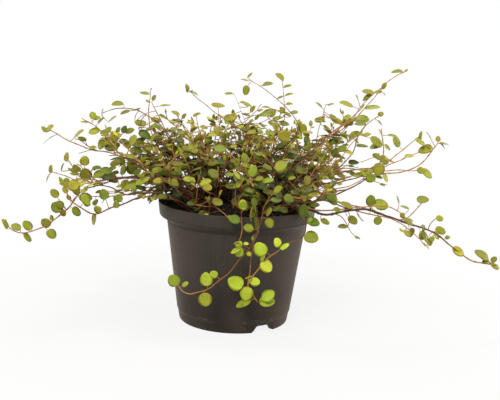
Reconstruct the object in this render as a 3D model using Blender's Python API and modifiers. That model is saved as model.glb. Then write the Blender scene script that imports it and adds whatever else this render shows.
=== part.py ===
"""A wire vine in a round nursery pot.

The pot stands on the XY plane with its axis on Z and the origin under the middle of its floor. Every shoot is
one body, its stem, leaf stalks and leaves together, rooted in a socket of the soil. The front of the plant,
where the trailers hang over the rim, faces -Y. Lengths are metres; the shoots' routes are in millimetres.
"""

import math
import random

import bmesh
import bpy
import numpy as np
from mathutils import Matrix, Vector
from mathutils.bvhtree import BVHTree
from mathutils.kdtree import KDTree

MM = 0.001

# pot
RIM_RADIUS = 60 * MM
POT_HEIGHT = 92 * MM
BAND_HEIGHT = 7.5 * MM  # the straight part of the rim band
BAND_ROUND = 2 * MM  # the radius of the band's lower edge
UNDER_SLOPE = 34  # degrees, of the band's underside
NECK_RADIUS = 53.2 * MM  # wall just under the band
HEEL_RADIUS = 43.8 * MM
HEEL_HEIGHT = 9 * MM
HEEL_STEP = 0.5 * MM
FOOT_RADIUS = 41.8 * MM
FOOT_WIDTH = 3.8 * MM
FLOOR_RISE = 3.2 * MM
HUB_RADIUS = 18 * MM  # the middle of the floor comes back down to the ground
WALL = 1.0 * MM
POT_SIDES = 36
BAND_STEPS = 3

# water ways through the foot and the floor
NOTCH_ANGLE = -56.5  # degrees; the second notch is opposite
NOTCH_WIDTH = 20 * MM
NOTCH_TOP_WIDTH = 9.5 * MM
NOTCH_HEIGHT = 4.6 * MM
HOLE_RADIUS = 3.5 * MM
HOLE_CIRCLE = 28 * MM
HOLES = 5

# soil
SOIL_TOP = 86 * MM  # in the middle
SOIL_EDGE = 78 * MM  # against the wall
SOIL_RADIUS = NECK_RADIUS - WALL - 0.5 * MM
SOIL_SIDES = 32
GAP = 0.3 * MM  # between pieces that touch

# shoots
STEM_SIDES = 4
STEM_RADIUS = 0.62 * MM
TIP_RADIUS = 0.36 * MM
OLD_STEM_RADIUS = 0.95 * MM
STATION = 12 * MM  # between a stem's rings
STEM_CLEARANCE = 2.2 * MM  # between the middles of two stems
SAMPLE = 1 * MM  # between the points that stems are compared at
NUDGES = 60
NUDGE_SHARE = 1.3  # of the missing clearance
SOCKET_DEPTH = 5.5 * MM
SOCKET_HALF = 1.0 * MM
OLD_SOCKET_HALF = 1.35 * MM
STEM_CLEAR_OF_SOIL = 1.5 * MM

# leaves
JOINT = 1.1 * MM  # length of the swelling that a leaf stalk grows from
STALK_HALF = 0.3 * MM
STALK_LENGTH = (3.2 * MM, 5.0 * MM)
STALK_START = 0.6 * MM  # from the face it grows on, where it is first tested
LEAF_LENGTH = (8.5 * MM, 11.5 * MM)
LEAF_ASPECT = 0.86
LEAF_OUTLINE = ((0.36, 1.0), (0.74, 0.82), (1.0, 0.22))  # share of the length, share of the half width
LEAF_HALF_THICKNESS = 0.28 * MM
LEAF_CLEARANCE = 0.35 * MM
LEAF_TRIES = 24
TIP_LEAF_LENGTH = 6.5 * MM
TIP_LEAF_STALK = 1.0 * MM
LEAF_TURN = 137.5  # degrees round the stem from one leaf to the next
LEAF_SWING = 30  # degrees either side of that, and more at each new try
LEAF_LEAN = 0.7  # how far a leaf strays from square to its stem
LEAF_OUT = 0.6  # least cosine between a leaf and the side of the stem that it grows on
BARE_LENGTH = 20 * MM  # of each stem above the soil

GREENS = ((0.20, 0.30, 0.04), (0.27, 0.38, 0.05), (0.33, 0.44, 0.06))

# A shoot's root on the soil (x, y), then the points that its stem runs through (x, y, z), in millimetres.
LEFT_SHOOTS = {
    "left_runner": ((-24, -8), (-46, -9, 103), (-82, -12, 109), (-112, -30, 103), (-122, -38, 90),
                    (-138, -44, 77), (-160, -49, 73), (-167, -50, 83)),
    "left_lower_runner": ((-30, -22), (-50, -25, 99), (-69, -35, 99), (-88, -45, 93), (-103, -52, 89),
                          (-111, -58, 95), (-117, -62, 101), (-121, -64, 111)),
    "left_fork": ((-34, 8), (-52, 13, 106), (-88, 15, 104), (-106, 11, 100), (-120, 10, 100),
                  (-135, 12, 105), (-147, 14, 108)),
    "left_middle_shoot": ((-26, 18), (-46, 26, 102), (-70, 30, 104), (-95, 30, 102), (-118, 32, 102),
                          (-129, 32, 107), (-137, 32, 117)),
    "left_upper_runner": ((-18, 2), (-38, 4, 104), (-65, 5, 109), (-81, -2, 120), (-93, -8, 126),
                          (-111, -15, 130), (-124, -21, 136), (-140, -28, 146)),
    "left_high_shoot": ((-20, 26), (-45, 35, 101), (-71, 40, 108), (-86, 42, 115), (-100, 45, 122),
                        (-113, 50, 137), (-128, 55, 145)),
    "left_arching_shoot": ((-12, 14), (-31, 18, 112), (-50, 20, 127), (-60, 20, 144), (-71, 18, 153),
                           (-90, 10, 159), (-105, 4, 155)),
    "left_upright_sprig": ((-32, 34), (-50, 50, 105), (-65, 60, 121), (-74, 62, 141), (-74, 62, 168)),
    "left_twin_sprig": ((-14, 33), (-31, 42, 108), (-49, 45, 124), (-62, 45, 144), (-71, 45, 161)),
    "left_back_sprig": ((-6, 41), (-20, 55, 104), (-37, 70, 121), (-46, 72, 138), (-54, 76, 150)),
}

RIGHT_SHOOTS = {
    "right_runner": ((36, -22), (45, -45, 99), (60, -63, 97), (90, -60, 101), (109, -55, 95),
                     (126, -50, 89), (141, -46, 84), (158, -42, 72), (175, -38, 61), (194, -34, 58)),
    "right_front_shoot": ((14, -37), (34, -52, 100), (62, -53, 106), (83, -63, 108), (102, -68, 106),
                          (115, -72, 101)),
    "right_long_shoot": ((22, -20), (40, -33, 98), (55, -39, 101), (84, -40, 114), (97, -43, 123),
                         (117, -48, 127), (127, -50, 132), (139, -54, 149)),
    "right_cluster_shoot": ((30, -12), (50, -26, 107), (77, -38, 119), (91, -42, 126), (101, -45, 133),
                            (100, -46, 157)),
    "right_middle_shoot": ((34, 0), (48, 0, 104), (62, 0, 111), (91, 2, 120), (108, 4, 122),
                           (122, 10, 132), (140, 18, 146)),
    "right_low_shoot": ((41, -9), (60, -13, 101), (84, -15, 99), (108, -12, 94), (128, -8, 90), (140, -4, 102)),
    "right_high_runner": ((24, 2), (36, 6, 106), (47, 10, 123), (67, 14, 140), (84, 20, 152),
                          (99, 28, 167), (118, 36, 188), (130, 40, 194)),
    "right_high_twin": ((18, 30), (33, 40, 102), (50, 45, 110), (69, 45, 128), (85, 46, 146), (100, 46, 169),
                        (113, 46, 181)),
    "right_back_sprig": ((21, 33), (48, 53, 102), (76, 60, 107), (93, 62, 124), (99, 64, 142), (115, 70, 156)),
    "right_far_shoot": ((38, 22), (56, 40, 101), (76, 50, 100), (109, 58, 109), (133, 66, 119), (152, 70, 127)),
    "right_back_runner": ((31, 30), (44, 46, 98), (62, 69, 100), (87, 90, 98), (122, 95, 105), (163, 100, 106)),
    "right_drooping_shoot": ((42, 9), (60, 15, 99), (81, 20, 90), (105, 22, 85), (127, 25, 76), (145, 30, 63),
                             (153, 32, 55)),
}

CROWN_SHOOTS = {
    "crown_left_sprig": ((-4, 10), (-2, 20, 108), (1, 30, 128), (-6, 32, 147), (-14, 32, 152), (-43, 20, 175)),
    "crown_middle_sprig": ((-6, 26), (-10, 45, 104), (-14, 60, 123), (-19, 62, 159)),
    "crown_front_sprig": ((-14, -6), (-20, -8, 110), (-26, -10, 132), (-33, -14, 158)),
    "crown_top_sprig": ((2, 4), (6, 8, 110), (7, 10, 131), (1, 8, 159), (2, 4, 183)),
    "crown_right_sprig": ((10, 20), (20, 32, 108), (29, 40, 127), (35, 42, 151), (32, 48, 183)),
    "crown_hooked_shoot": ((16, -10), (24, -22, 106), (31, -30, 130), (42, -27, 156), (34, -24, 166),
                           (16, -20, 180), (4, -18, 187)),
    "crown_leaning_sprig": ((20, 9), (36, 14, 106), (55, 20, 123), (62, 23, 150), (66, 26, 166)),
    "crown_fill_left": ((-22, -22), (-38, -30, 104), (-50, -40, 121), (-58, -46, 134)),
    "crown_fill_front": ((6, -22), (10, -34, 103), (7, -44, 118), (0, -52, 130)),
    "crown_fill_corner": ((-9, -28), (-14, -43, 101), (-22, -57, 110), (-30, -70, 116)),
    "crown_fill_right": ((27, -28), (38, -41, 103), (48, -52, 113), (58, -62, 122)),
    "crown_fill_back": ((30, 14), (44, 27, 110), (54, 46, 130), (58, 60, 145)),
}

FRONT_SHOOTS = {
    "front_trailer": ((3, -40), (10, -53, 97), (14, -63, 94), (15, -70, 83), (5, -73, 67), (-11, -72, 48),
                      (-25, -69, 39), (-33, -67, 38), (-40, -66, 43)),
    "front_short_trailer": ((9, -30), (18, -50, 98), (18, -63, 95), (15, -66, 84), (12, -65, 72), (11, -62, 55),
                            (10, -60, 43), (17, -59, 30)),
    "front_side_trailer": ((31, -38), (42, -47, 97), (49, -55, 92), (48, -60, 81), (37, -67, 76), (25, -76, 69),
                           (16, -79, 60), (12, -80, 54)),
    "front_middle_sprig": ((-6, -38), (-1, -52, 98), (3, -64, 96), (4, -71, 87), (2, -73, 76)),
    "front_left_sprig": ((-17, -36), (-20, -50, 98), (-16, -60, 98), (-6, -66, 92), (-1, -70, 85)),
}

BACK_SHOOTS = {
    "back_left_runner": ((-38, 18), (-60, 55, 106), (-80, 88, 112), (-102, 112, 108)),
    "back_left_shoot": ((-25, 34), (-40, 70, 110), (-52, 104, 117), (-62, 132, 112)),
    "back_inner_shoot": ((-10, 36), (-14, 78, 114), (-20, 112, 121), (-16, 140, 112)),
    "back_middle_shoot": ((5, 36), (8, 74, 117), (10, 110, 128), (14, 142, 124)),
    "back_outer_shoot": ((14, 40), (26, 80, 112), (36, 116, 119), (46, 140, 112)),
    "back_right_shoot": ((22, 30), (50, 74, 112), (72, 104, 121), (86, 122, 128)),
    "back_right_runner": ((32, 23), (47, 40, 100), (72, 62, 109), (98, 84, 112), (120, 106, 116)),
    "back_trailer": ((-14, 36), (-20, 56, 98), (-25, 66, 98), (-30, 78, 84), (-33, 76, 66), (-28, 72, 50)),
    "back_side_trailer": ((10, 33), (12, 55, 98), (15, 66, 98), (22, 78, 86), (28, 80, 68), (26, 76, 54)),
}

OLD_STEMS = {
    "old_stem_left": ((-34, -14), (-42, -16, 90), (-52, -14, 97), (-58, -6, 104)),
    "old_stem_front": ((16, -30), (24, -38, 92), (36, -40, 96), (46, -34, 101)),
    "old_stem_back": ((0, 22), (2, 30, 98), (-6, 40, 108), (-16, 44, 114)),
}


# ---------------------------------------------------------------- scene and materials


def clear_scene():
    for obj in list(bpy.data.objects):
        bpy.data.objects.remove(obj)


def new_collection(name):
    collection = bpy.data.collections.new(name)
    bpy.context.scene.collection.children.link(collection)
    return collection


def plain_material(name, color, roughness):
    material = bpy.data.materials.new(name)
    material.use_nodes = True
    shader = material.node_tree.nodes["Principled BSDF"]
    shader.inputs["Base Color"].default_value = (*color, 1)
    shader.inputs["Roughness"].default_value = roughness
    shader.inputs["Metallic"].default_value = 0
    return material


def mesh_object(name, bm, collection, material=None):
    mesh = bpy.data.meshes.new(name)
    bm.to_mesh(mesh)
    bm.free()
    obj = bpy.data.objects.new(name, mesh)
    collection.objects.link(obj)
    if material:
        mesh.materials.append(material)
    return obj


def turned_object(name, profile, sides, collection, material):
    """The profile (radius, height) turned about Z by a Screw."""
    bm = bmesh.new()
    verts = [bm.verts.new((radius, 0, height)) for radius, height in profile]
    for first, second in zip(verts, verts[1:]):
        bm.edges.new((first, second))
    obj = mesh_object(name, bm, collection, material)
    screw = obj.modifiers.new("Turn", "SCREW")
    screw.steps = sides
    screw.render_steps = sides
    screw.use_merge_vertices = True
    screw.merge_threshold = 0.00001
    return obj


def cut(obj, cutter):
    cutter.hide_render = True
    cutter.display_type = "WIRE"
    boolean = obj.modifiers.new("Cut " + cutter.name, "BOOLEAN")
    boolean.operation = "DIFFERENCE"
    boolean.object = cutter


# ---------------------------------------------------------------- pot and soil


def band_underside():
    """The band's rounded lower edge, and from there the slope in to the neck."""
    bottom = POT_HEIGHT - BAND_HEIGHT
    turns = [math.radians(90 - UNDER_SLOPE) * step / BAND_STEPS for step in range(BAND_STEPS + 1)]
    edge = [(RIM_RADIUS - BAND_ROUND * (1 - math.cos(turn)), bottom - BAND_ROUND * math.sin(turn)) for turn in turns]
    radius, height = edge[-1]
    return [*edge, (NECK_RADIUS, height - (radius - NECK_RADIUS) * math.tan(math.radians(UNDER_SLOPE)))]


def pot_profile():
    """Down the outside, under the foot and in to the middle of the floor."""
    foot_inside = FOOT_RADIUS - FOOT_WIDTH
    return [(RIM_RADIUS, POT_HEIGHT), *band_underside(),
            (HEEL_RADIUS, HEEL_HEIGHT), (HEEL_RADIUS - HEEL_STEP, HEEL_HEIGHT - HEEL_STEP), (FOOT_RADIUS, 0),
            (foot_inside, 0), (foot_inside - WALL, FLOOR_RISE),
            (HUB_RADIUS + WALL, FLOOR_RISE), (HUB_RADIUS, 0), (0, 0)]


def notch_cutter(collection):
    """Two trapezoid blocks, one each side of the foot."""
    bm = bmesh.new()
    reach = 2 * FOOT_WIDTH
    for turn in (0, 180):
        block = bmesh.ops.create_cube(bm, size=1)["verts"]
        for vert in block:
            top = vert.co.z > 0
            half = (NOTCH_TOP_WIDTH if top else NOTCH_WIDTH) / 2
            vert.co.x = FOOT_RADIUS + (reach if vert.co.x > 0 else -reach)
            vert.co.y = half if vert.co.y > 0 else -half
            vert.co.z = NOTCH_HEIGHT if top else -NOTCH_HEIGHT
        bmesh.ops.rotate(bm, verts=block, matrix=Matrix.Rotation(math.radians(NOTCH_ANGLE + turn), 3, "Z"))
    return mesh_object("notch_cutter", bm, collection)


def drain_cutter(collection):
    bm = bmesh.new()
    for hole in range(HOLES):
        turn = math.radians(NOTCH_ANGLE + 360 * (hole + 0.5) / HOLES)
        place = Matrix.Translation((HOLE_CIRCLE * math.cos(turn), HOLE_CIRCLE * math.sin(turn), FLOOR_RISE))
        bmesh.ops.create_cone(bm, cap_ends=True, segments=12, radius1=HOLE_RADIUS, radius2=HOLE_RADIUS,
                              depth=6 * WALL, matrix=place)
    return mesh_object("drain_cutter", bm, collection)


def make_pot(parts, cutters, material):
    pot = turned_object("nursery_pot", pot_profile(), POT_SIDES, parts, material)
    wall = pot.modifiers.new("Wall", "SOLIDIFY")
    wall.thickness = WALL
    wall.use_even_offset = True
    cut(pot, notch_cutter(cutters))
    cut(pot, drain_cutter(cutters))
    return pot


def soil_height(radius):
    """The soil is domed: a parabola from the middle down to the wall."""
    return SOIL_TOP - (SOIL_TOP - SOIL_EDGE) * (radius / SOIL_RADIUS) ** 2


def soil_profile():
    inside = WALL + GAP
    dome = [(SOIL_RADIUS * share, soil_height(SOIL_RADIUS * share)) for share in (0, 0.3, 0.55, 0.8, 1)]
    heel = (HEEL_RADIUS - HEEL_STEP - inside, HEEL_HEIGHT)
    floor = FLOOR_RISE + inside
    foot = (FOOT_RADIUS - inside - 0.5 * MM, floor)
    hub = HUB_RADIUS - inside
    return [*dome, heel, foot, (hub, floor), (hub, inside), (0, inside)]


def socket_cutter(collection):
    """A square hole in the soil for the foot of each stem."""
    bm = bmesh.new()
    for name, route in all_routes().items():
        half = OLD_SOCKET_HALF if name in OLD_STEMS else SOCKET_HALF
        x, y = (value * MM for value in route[0])
        bottom = soil_height(math.hypot(x, y)) - SOCKET_DEPTH - GAP
        size = Matrix.Diagonal((2 * half, 2 * half, 2 * SOCKET_DEPTH, 1))
        bmesh.ops.create_cube(bm, size=1, matrix=Matrix.Translation((x, y, bottom + SOCKET_DEPTH)) @ size)
    return mesh_object("socket_cutter", bm, collection)


def make_soil(parts, cutters, material):
    soil = turned_object("potting_soil", soil_profile(), SOIL_SIDES, parts, material)
    cut(soil, socket_cutter(cutters))
    return soil


# ---------------------------------------------------------------- stems


def all_routes():
    return {**LEFT_SHOOTS, **RIGHT_SHOOTS, **CROWN_SHOOTS, **FRONT_SHOOTS, **BACK_SHOOTS, **OLD_STEMS}


def smooth_curve(points, step):
    """A cubic through the points, with chord length as its parameter and each point's slope from both sides."""
    chords = np.linalg.norm(np.diff(points, axis=0), axis=1)
    knots = np.concatenate([[0], np.cumsum(chords)])
    slopes = np.gradient(points, knots, axis=0)
    at = np.linspace(0, knots[-1], max(2, round(knots[-1] / step)) + 1)
    span = np.clip(np.searchsorted(knots, at, side="right") - 1, 0, len(chords) - 1)
    width = chords[span][:, None]
    t = ((at - knots[span]) / chords[span])[:, None]
    return ((2 * t**3 - 3 * t**2 + 1) * points[span] + (t**3 - 2 * t**2 + t) * width * slopes[span]
            + (3 * t**2 - 2 * t**3) * points[span + 1] + (t**3 - t**2) * width * slopes[span + 1])


def stem_stations(route):
    """Where a stem's rings go: two upright in the soil's socket, then even steps along the route."""
    x, y = (value * MM for value in route[0])
    ground = soil_height(math.hypot(x, y))
    foot = np.array([[x, y, ground - SOCKET_DEPTH], [x, y, ground + STEM_CLEAR_OF_SOIL]])
    through = np.array(route[1:], float) * MM
    return np.vstack([foot[:1], smooth_curve(np.vstack([foot[1:], through]), STATION)])


def keep_clear(stations, tree):
    """Moves the stations of one stem until it passes every stem in the tree with room to spare."""
    for _ in range(NUDGES):
        moves = np.zeros_like(stations)
        for first in range(1, len(stations) - 1):
            start, end = stations[first], stations[first + 1]
            for share in np.linspace(0, 1, 1 + math.ceil(np.linalg.norm(end - start) / SAMPLE)):
                point = start + (end - start) * share
                near, _, gap = tree.find(point)
                if gap < STEM_CLEARANCE:
                    away = (point - np.array(near)) / gap * (STEM_CLEARANCE - gap)
                    moves[first] = farther(moves[first], away * (1 - share))
                    moves[first + 1] = farther(moves[first + 1], away * share)
        moves[:2] = 0
        if not moves.any():
            break
        stations = stations + NUDGE_SHARE * moves
    return stations


def farther(first, second):
    return first if np.linalg.norm(first) >= np.linalg.norm(second) else second


def lay_out_stems():
    """Each stem's stations, kept clear of the stems before it."""
    stems = {}
    samples = [Vector((0, 0, -1))]
    for name, route in all_routes().items():
        tree = KDTree(len(samples))
        for index, sample in enumerate(samples):
            tree.insert(sample, index)
        tree.balance()
        stations = keep_clear(stem_stations(route), tree)
        stems[name] = [Vector(station) for station in stations]
        for start, end in zip(stems[name], stems[name][1:]):
            steps = math.ceil((end - start).length / SAMPLE)
            samples += [start.lerp(end, step / steps) for step in range(steps + 1)]
    return stems


def extrude_face(bm, face, corners):
    """Extrudes one face and moves its far end to the given corners, which follow the face's own order."""
    far = bmesh.ops.extrude_discrete_faces(bm, faces=[face])["faces"][0]
    for vert, corner in zip(far.verts, corners):
        vert.co = corner
    return far


def stem_rings(stations, joints):
    """The middle and direction of each ring above the foot, and whether a leaf's joint ends there."""
    rings = []
    for index in range(2, len(stations) - 1):
        along = (stations[index + 1] - stations[index - 1]).normalized()
        if index in joints:
            rings.append((stations[index] - along * JOINT / 2, along, False))
            rings.append((stations[index] + along * JOINT / 2, along, True))
        else:
            rings.append((stations[index], along, False))
    rings.append((stations[-1], (stations[-1] - stations[-2]).normalized(), False))
    return rings


def grow_stem(stations, radius, joints):
    """A square tube that starts as an upright foot and is extruded from ring to ring, each a little thinner.

    A joint is a short length of it. The sides of each joint come back, for a leaf stalk to grow from.
    """
    bm = bmesh.new()
    foot_middle = stations[0].lerp(stations[1], 0.5)
    bmesh.ops.create_cone(bm, cap_ends=True, segments=STEM_SIDES, radius1=radius, radius2=radius,
                          depth=(stations[1] - stations[0]).length, matrix=Matrix.Translation(foot_middle))
    end = max(bm.faces, key=lambda face: face.calc_center_median().z)
    turns = [math.atan2(vert.co.y - stations[1].y, vert.co.x - stations[1].x) for vert in end.verts]
    rings = stem_rings(stations, joints)
    side = Vector((1, 0, 0))
    joint_sides = []
    for count, (middle, along, is_joint) in enumerate(rings):
        side = (side - along * side.dot(along)).normalized()
        other = along.cross(side)
        thin = radius + (TIP_RADIUS - radius) * (count + 1) / len(rings)
        spokes = [math.cos(turn) * side + math.sin(turn) * other for turn in turns]
        end = extrude_face(bm, end, [middle + thin * spoke for spoke in spokes])
        if is_joint:
            joint_sides.append([face for edge in end.edges for face in edge.link_faces if face != end])
    bm.normal_update()
    return bm, joint_sides, end


# ---------------------------------------------------------------- leaves


def leaf_sections(root, direction, width_way, length, stalk, spare=0.0):
    """The four corners of each section of a leaf, from the end of its stalk to its tip."""
    normal = direction.cross(width_way)
    half = LEAF_ASPECT * length / 2
    sections = [(stalk, STALK_HALF, STALK_HALF)]
    sections += [(stalk + share * length, half * width, LEAF_HALF_THICKNESS) for share, width in LEAF_OUTLINE]
    rings = []
    for reach, side, thick in sections:
        across = width_way * (side + spare)
        up = normal * (thick + spare)
        centre = root + direction * reach
        rings.append([centre - across - up, centre + across - up, centre + across + up, centre - across + up])
    return rings


def leaf_tree(root, direction, width_way, length, stalk):
    """The leaf, a little oversize, as a tree for testing what it meets."""
    rings = leaf_sections(root, direction, width_way, length, stalk, LEAF_CLEARANCE)
    corners = [corner for ring in rings for corner in ring]
    faces = [(0, 1, 2, 3)]
    for start in range(0, len(corners) - 4, 4):
        faces += [(start + one, start + two, start + 4 + two, start + 4 + one)
                  for one, two in ((0, 1), (1, 2), (2, 3), (3, 0))]
    return BVHTree.FromPolygons(corners, faces), corners


def stalk_tree(root, direction, stalk):
    """The leaf stalk as a thin prism that starts just off its own stem."""
    side = direction.orthogonal().normalized() * (STALK_HALF + LEAF_CLEARANCE)
    other = direction.cross(side)
    near = root + direction * STALK_START
    far = root + direction * stalk
    corners = [end + way for end in (near, far) for way in (side, other, -side, -other)]
    faces = [(corner, (corner + 1) % 4, 4 + (corner + 1) % 4, 4 + corner) for corner in range(4)]
    return BVHTree.FromPolygons(corners, faces)


def inside_pot(point):
    """Whether a point is in the pot or just over its rim."""
    return math.hypot(point.x, point.y) < RIM_RADIUS + MM and point.z < POT_HEIGHT + MM


def grow_leaf(bm, sides, rng, turn, own_stem, obstacles):
    """Extrudes a leaf from one of a joint's sides where it meets nothing; returns the trees of blade and stalk."""
    for attempt in range(LEAF_TRIES):
        swing = turn + math.radians(rng.uniform(-LEAF_SWING, LEAF_SWING) * (1 + 3 * attempt / LEAF_TRIES))
        face = sides[round(swing / (math.tau / STEM_SIDES)) % STEM_SIDES]
        out = face.normal.copy()
        along = max((edge.verts[1].co - edge.verts[0].co for edge in face.edges), key=lambda way: way.length)
        along.normalize()
        lean = Vector((rng.uniform(-0.5, 0.5), rng.uniform(-0.5, 0.5), rng.uniform(-0.2, 0.7)))
        direction = (out + along * rng.uniform(-0.3, 0.3) + LEAF_LEAN * lean).normalized()
        if direction.dot(out) < LEAF_OUT:
            continue
        flat = Vector((rng.uniform(-0.6, 0.6), rng.uniform(-0.9, 0.3), 1)).normalized()
        width_way = flat.cross(direction).normalized()
        length = rng.uniform(*LEAF_LENGTH)
        stalk = rng.uniform(*STALK_LENGTH)
        root = face.calc_center_median()
        tree, corners = leaf_tree(root, direction, width_way, length, stalk)
        if any(inside_pot(corner) for corner in corners):
            continue
        stalk_test = stalk_tree(root, direction, stalk)
        if tree.overlap(own_stem) or any(tree.overlap(other) or stalk_test.overlap(other)
                                         for other in obstacles):
            continue
        extrude_leaf(bm, face, direction, width_way, length, stalk)
        return [tree, stalk_test]
    return []


def extrude_leaf(bm, face, direction, width_way, length, stalk):
    """Matches the face's corners to the leaf's sections with the least twist, then extrudes them one by one."""
    root = face.calc_center_median()
    rings = leaf_sections(root, direction, width_way, length, stalk)
    offsets = [vert.co - root for vert in face.verts]
    middle = root + direction * stalk

    def fit(shift):
        return sum(offset.dot(rings[0][(shift + index) % 4] - middle) for index, offset in enumerate(offsets))

    shift = max(range(4), key=fit)
    for ring in rings:
        face = extrude_face(bm, face, [ring[(shift + index) % 4] for index in range(4)])


def grow_tip_leaf(bm, cap, obstacles):
    """A small young leaf on the end of the stem, if it meets nothing there."""
    root = cap.calc_center_median()
    direction = cap.normal.copy()
    width_way = direction.cross(Vector((0, 0, 1)) - direction).normalized()
    tree, _ = leaf_tree(root, direction, width_way, TIP_LEAF_LENGTH, TIP_LEAF_STALK)
    if any(tree.overlap(other) for other in obstacles):
        return []
    extrude_leaf(bm, cap, direction, width_way, TIP_LEAF_LENGTH, TIP_LEAF_STALK)
    return [tree]


def joint_stations(stations):
    """Every second station past the bare foot of the stem carries a leaf, and so does the last but one."""
    bare = 0.0
    first = 1
    while bare < BARE_LENGTH and first < len(stations) - 2:
        bare += (stations[first + 1] - stations[first]).length
        first += 1
    last = len(stations) - 2
    return set(range(last, first - 1, -2))


def make_shoots(parts, pot, soil, materials, stem_material):
    stems = lay_out_stems()
    grown = {}
    for name, stations in stems.items():
        old = name in OLD_STEMS
        joints = set() if old else joint_stations(stations)
        grown[name] = grow_stem(stations, OLD_STEM_RADIUS if old else STEM_RADIUS, joints)
    graph = bpy.context.evaluated_depsgraph_get()
    around = [BVHTree.FromObject(pot, graph), BVHTree.FromObject(soil, graph)]
    stem_trees = {name: BVHTree.FromBMesh(bm) for name, (bm, _, _) in grown.items()}
    leaf_trees = []
    for count, (name, (bm, joints, cap)) in enumerate(grown.items()):
        others = around + [tree for other, tree in stem_trees.items() if other != name]
        rng = random.Random(name)
        turn = rng.uniform(0, math.tau)
        if name not in OLD_STEMS:
            leaf_trees += grow_tip_leaf(bm, cap, others + leaf_trees)
        for sides in joints:
            turn += math.radians(LEAF_TURN)
            leaf_trees += grow_leaf(bm, sides, rng, turn, stem_trees[name], others + leaf_trees)
        material = stem_material if name in OLD_STEMS else materials[count % len(materials)]
        mesh_object(name, bm, parts, material)


def main():
    clear_scene()
    parts = new_collection("potted_wire_vine")
    cutters = new_collection("cutters")
    pot = make_pot(parts, cutters, plain_material("pot_plastic", (0.045, 0.042, 0.04), 0.5))
    soil = make_soil(parts, cutters, plain_material("potting_soil", (0.03, 0.02, 0.013), 0.95))
    greens = [plain_material("leaf_green_" + str(index), color, 0.5) for index, color in enumerate(GREENS)]
    make_shoots(parts, pot, soil, greens, plain_material("old_stem", (0.12, 0.045, 0.025), 0.7))


main()
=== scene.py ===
import math

import bpy
import numpy as np
from mathutils import Matrix, Vector


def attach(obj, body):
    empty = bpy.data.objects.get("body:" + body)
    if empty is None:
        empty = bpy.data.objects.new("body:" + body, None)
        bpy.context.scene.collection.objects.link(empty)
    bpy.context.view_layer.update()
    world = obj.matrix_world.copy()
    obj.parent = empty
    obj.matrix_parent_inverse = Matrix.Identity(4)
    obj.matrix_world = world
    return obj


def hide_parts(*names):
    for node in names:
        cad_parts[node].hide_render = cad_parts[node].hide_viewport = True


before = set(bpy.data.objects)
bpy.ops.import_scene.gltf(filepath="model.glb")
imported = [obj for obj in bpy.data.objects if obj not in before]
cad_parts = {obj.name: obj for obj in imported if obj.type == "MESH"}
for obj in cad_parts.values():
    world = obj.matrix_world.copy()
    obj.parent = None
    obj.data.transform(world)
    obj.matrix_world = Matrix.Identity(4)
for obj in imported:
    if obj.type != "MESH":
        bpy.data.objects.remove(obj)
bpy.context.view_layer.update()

mm = 0.001
up = np.array([0.0, 0.0, 1.0])
towardsViewer = np.array([0.0, -1.0, 0.0])


# each vector divided by its length
def unit(vectors):
    return vectors / np.maximum(np.linalg.norm(vectors, axis=-1, keepdims=True), 1e-9)


# what is left of each vector once its part along the axis is taken away, at unit length
def square(vectors, axis):
    return unit(vectors - (vectors * axis).sum(-1, keepdims=True) * axis)


# 0 below low, 1 above high and 3 t^2 - 2 t^3 between
def smoothStep(low, high, value):
    t = np.clip((value - low) / (high - low), 0, 1)
    return t * t * (3 - 2 * t)


# soft noise from about -1 to 1: the mean of many sine waves of about this size, each its own way
def waves(points, size, seed, count=24):
    rng = np.random.default_rng(seed)
    ways = unit(rng.normal(size=(count, 3))) * (2 * math.pi / size) * rng.uniform(0.7, 1.4, (count, 1))
    phases = rng.uniform(0, 2 * math.pi, count)
    return np.sin(points @ ways.T + phases).mean(-1) * math.sqrt(count) / 1.6


# a mesh object at the origin from arrays; values are named numbers at its points, mapped its UVs
def newPiece(name, points, faces, material, replaced, values=(), mapped=None):
    mesh = bpy.data.meshes.new(name)
    mesh.from_pydata(points.tolist(), [], faces)
    mesh.materials.append(material)
    mesh.polygons.foreach_set("use_smooth", [True] * len(mesh.polygons))
    for label, numbers in dict(values).items():
        layer = mesh.attributes.new(label, "FLOAT", "POINT")
        layer.data.foreach_set("value", numbers.astype(np.float32))
    if mapped is not None:
        corner = np.empty(len(mesh.loops), np.int32)
        mesh.loops.foreach_get("vertex_index", corner)
        layer = mesh.uv_layers.new(name="bladeMap")
        layer.data.foreach_set("uv", mapped[corner].astype(np.float32).ravel())
    piece = bpy.data.objects.new(name, mesh)
    bpy.context.scene.collection.objects.link(piece)
    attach(piece, "root")
    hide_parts(*replaced)
    return piece


# quads between the rings of one tube, whose points run ring by ring, and a cap at each end
def ringFaces(rows, sides):
    row, side = np.meshgrid(np.arange(rows - 1), np.arange(sides), indexing="ij")
    nextSide = (side + 1) % sides
    quads = np.stack([row * sides + side, row * sides + nextSide,
                      (row + 1) * sides + nextSide, (row + 1) * sides + side], -1).reshape(-1, 4)
    return quads, [list(range(sides - 1, -1, -1)), list(range((rows - 1) * sides, rows * sides))]


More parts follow.
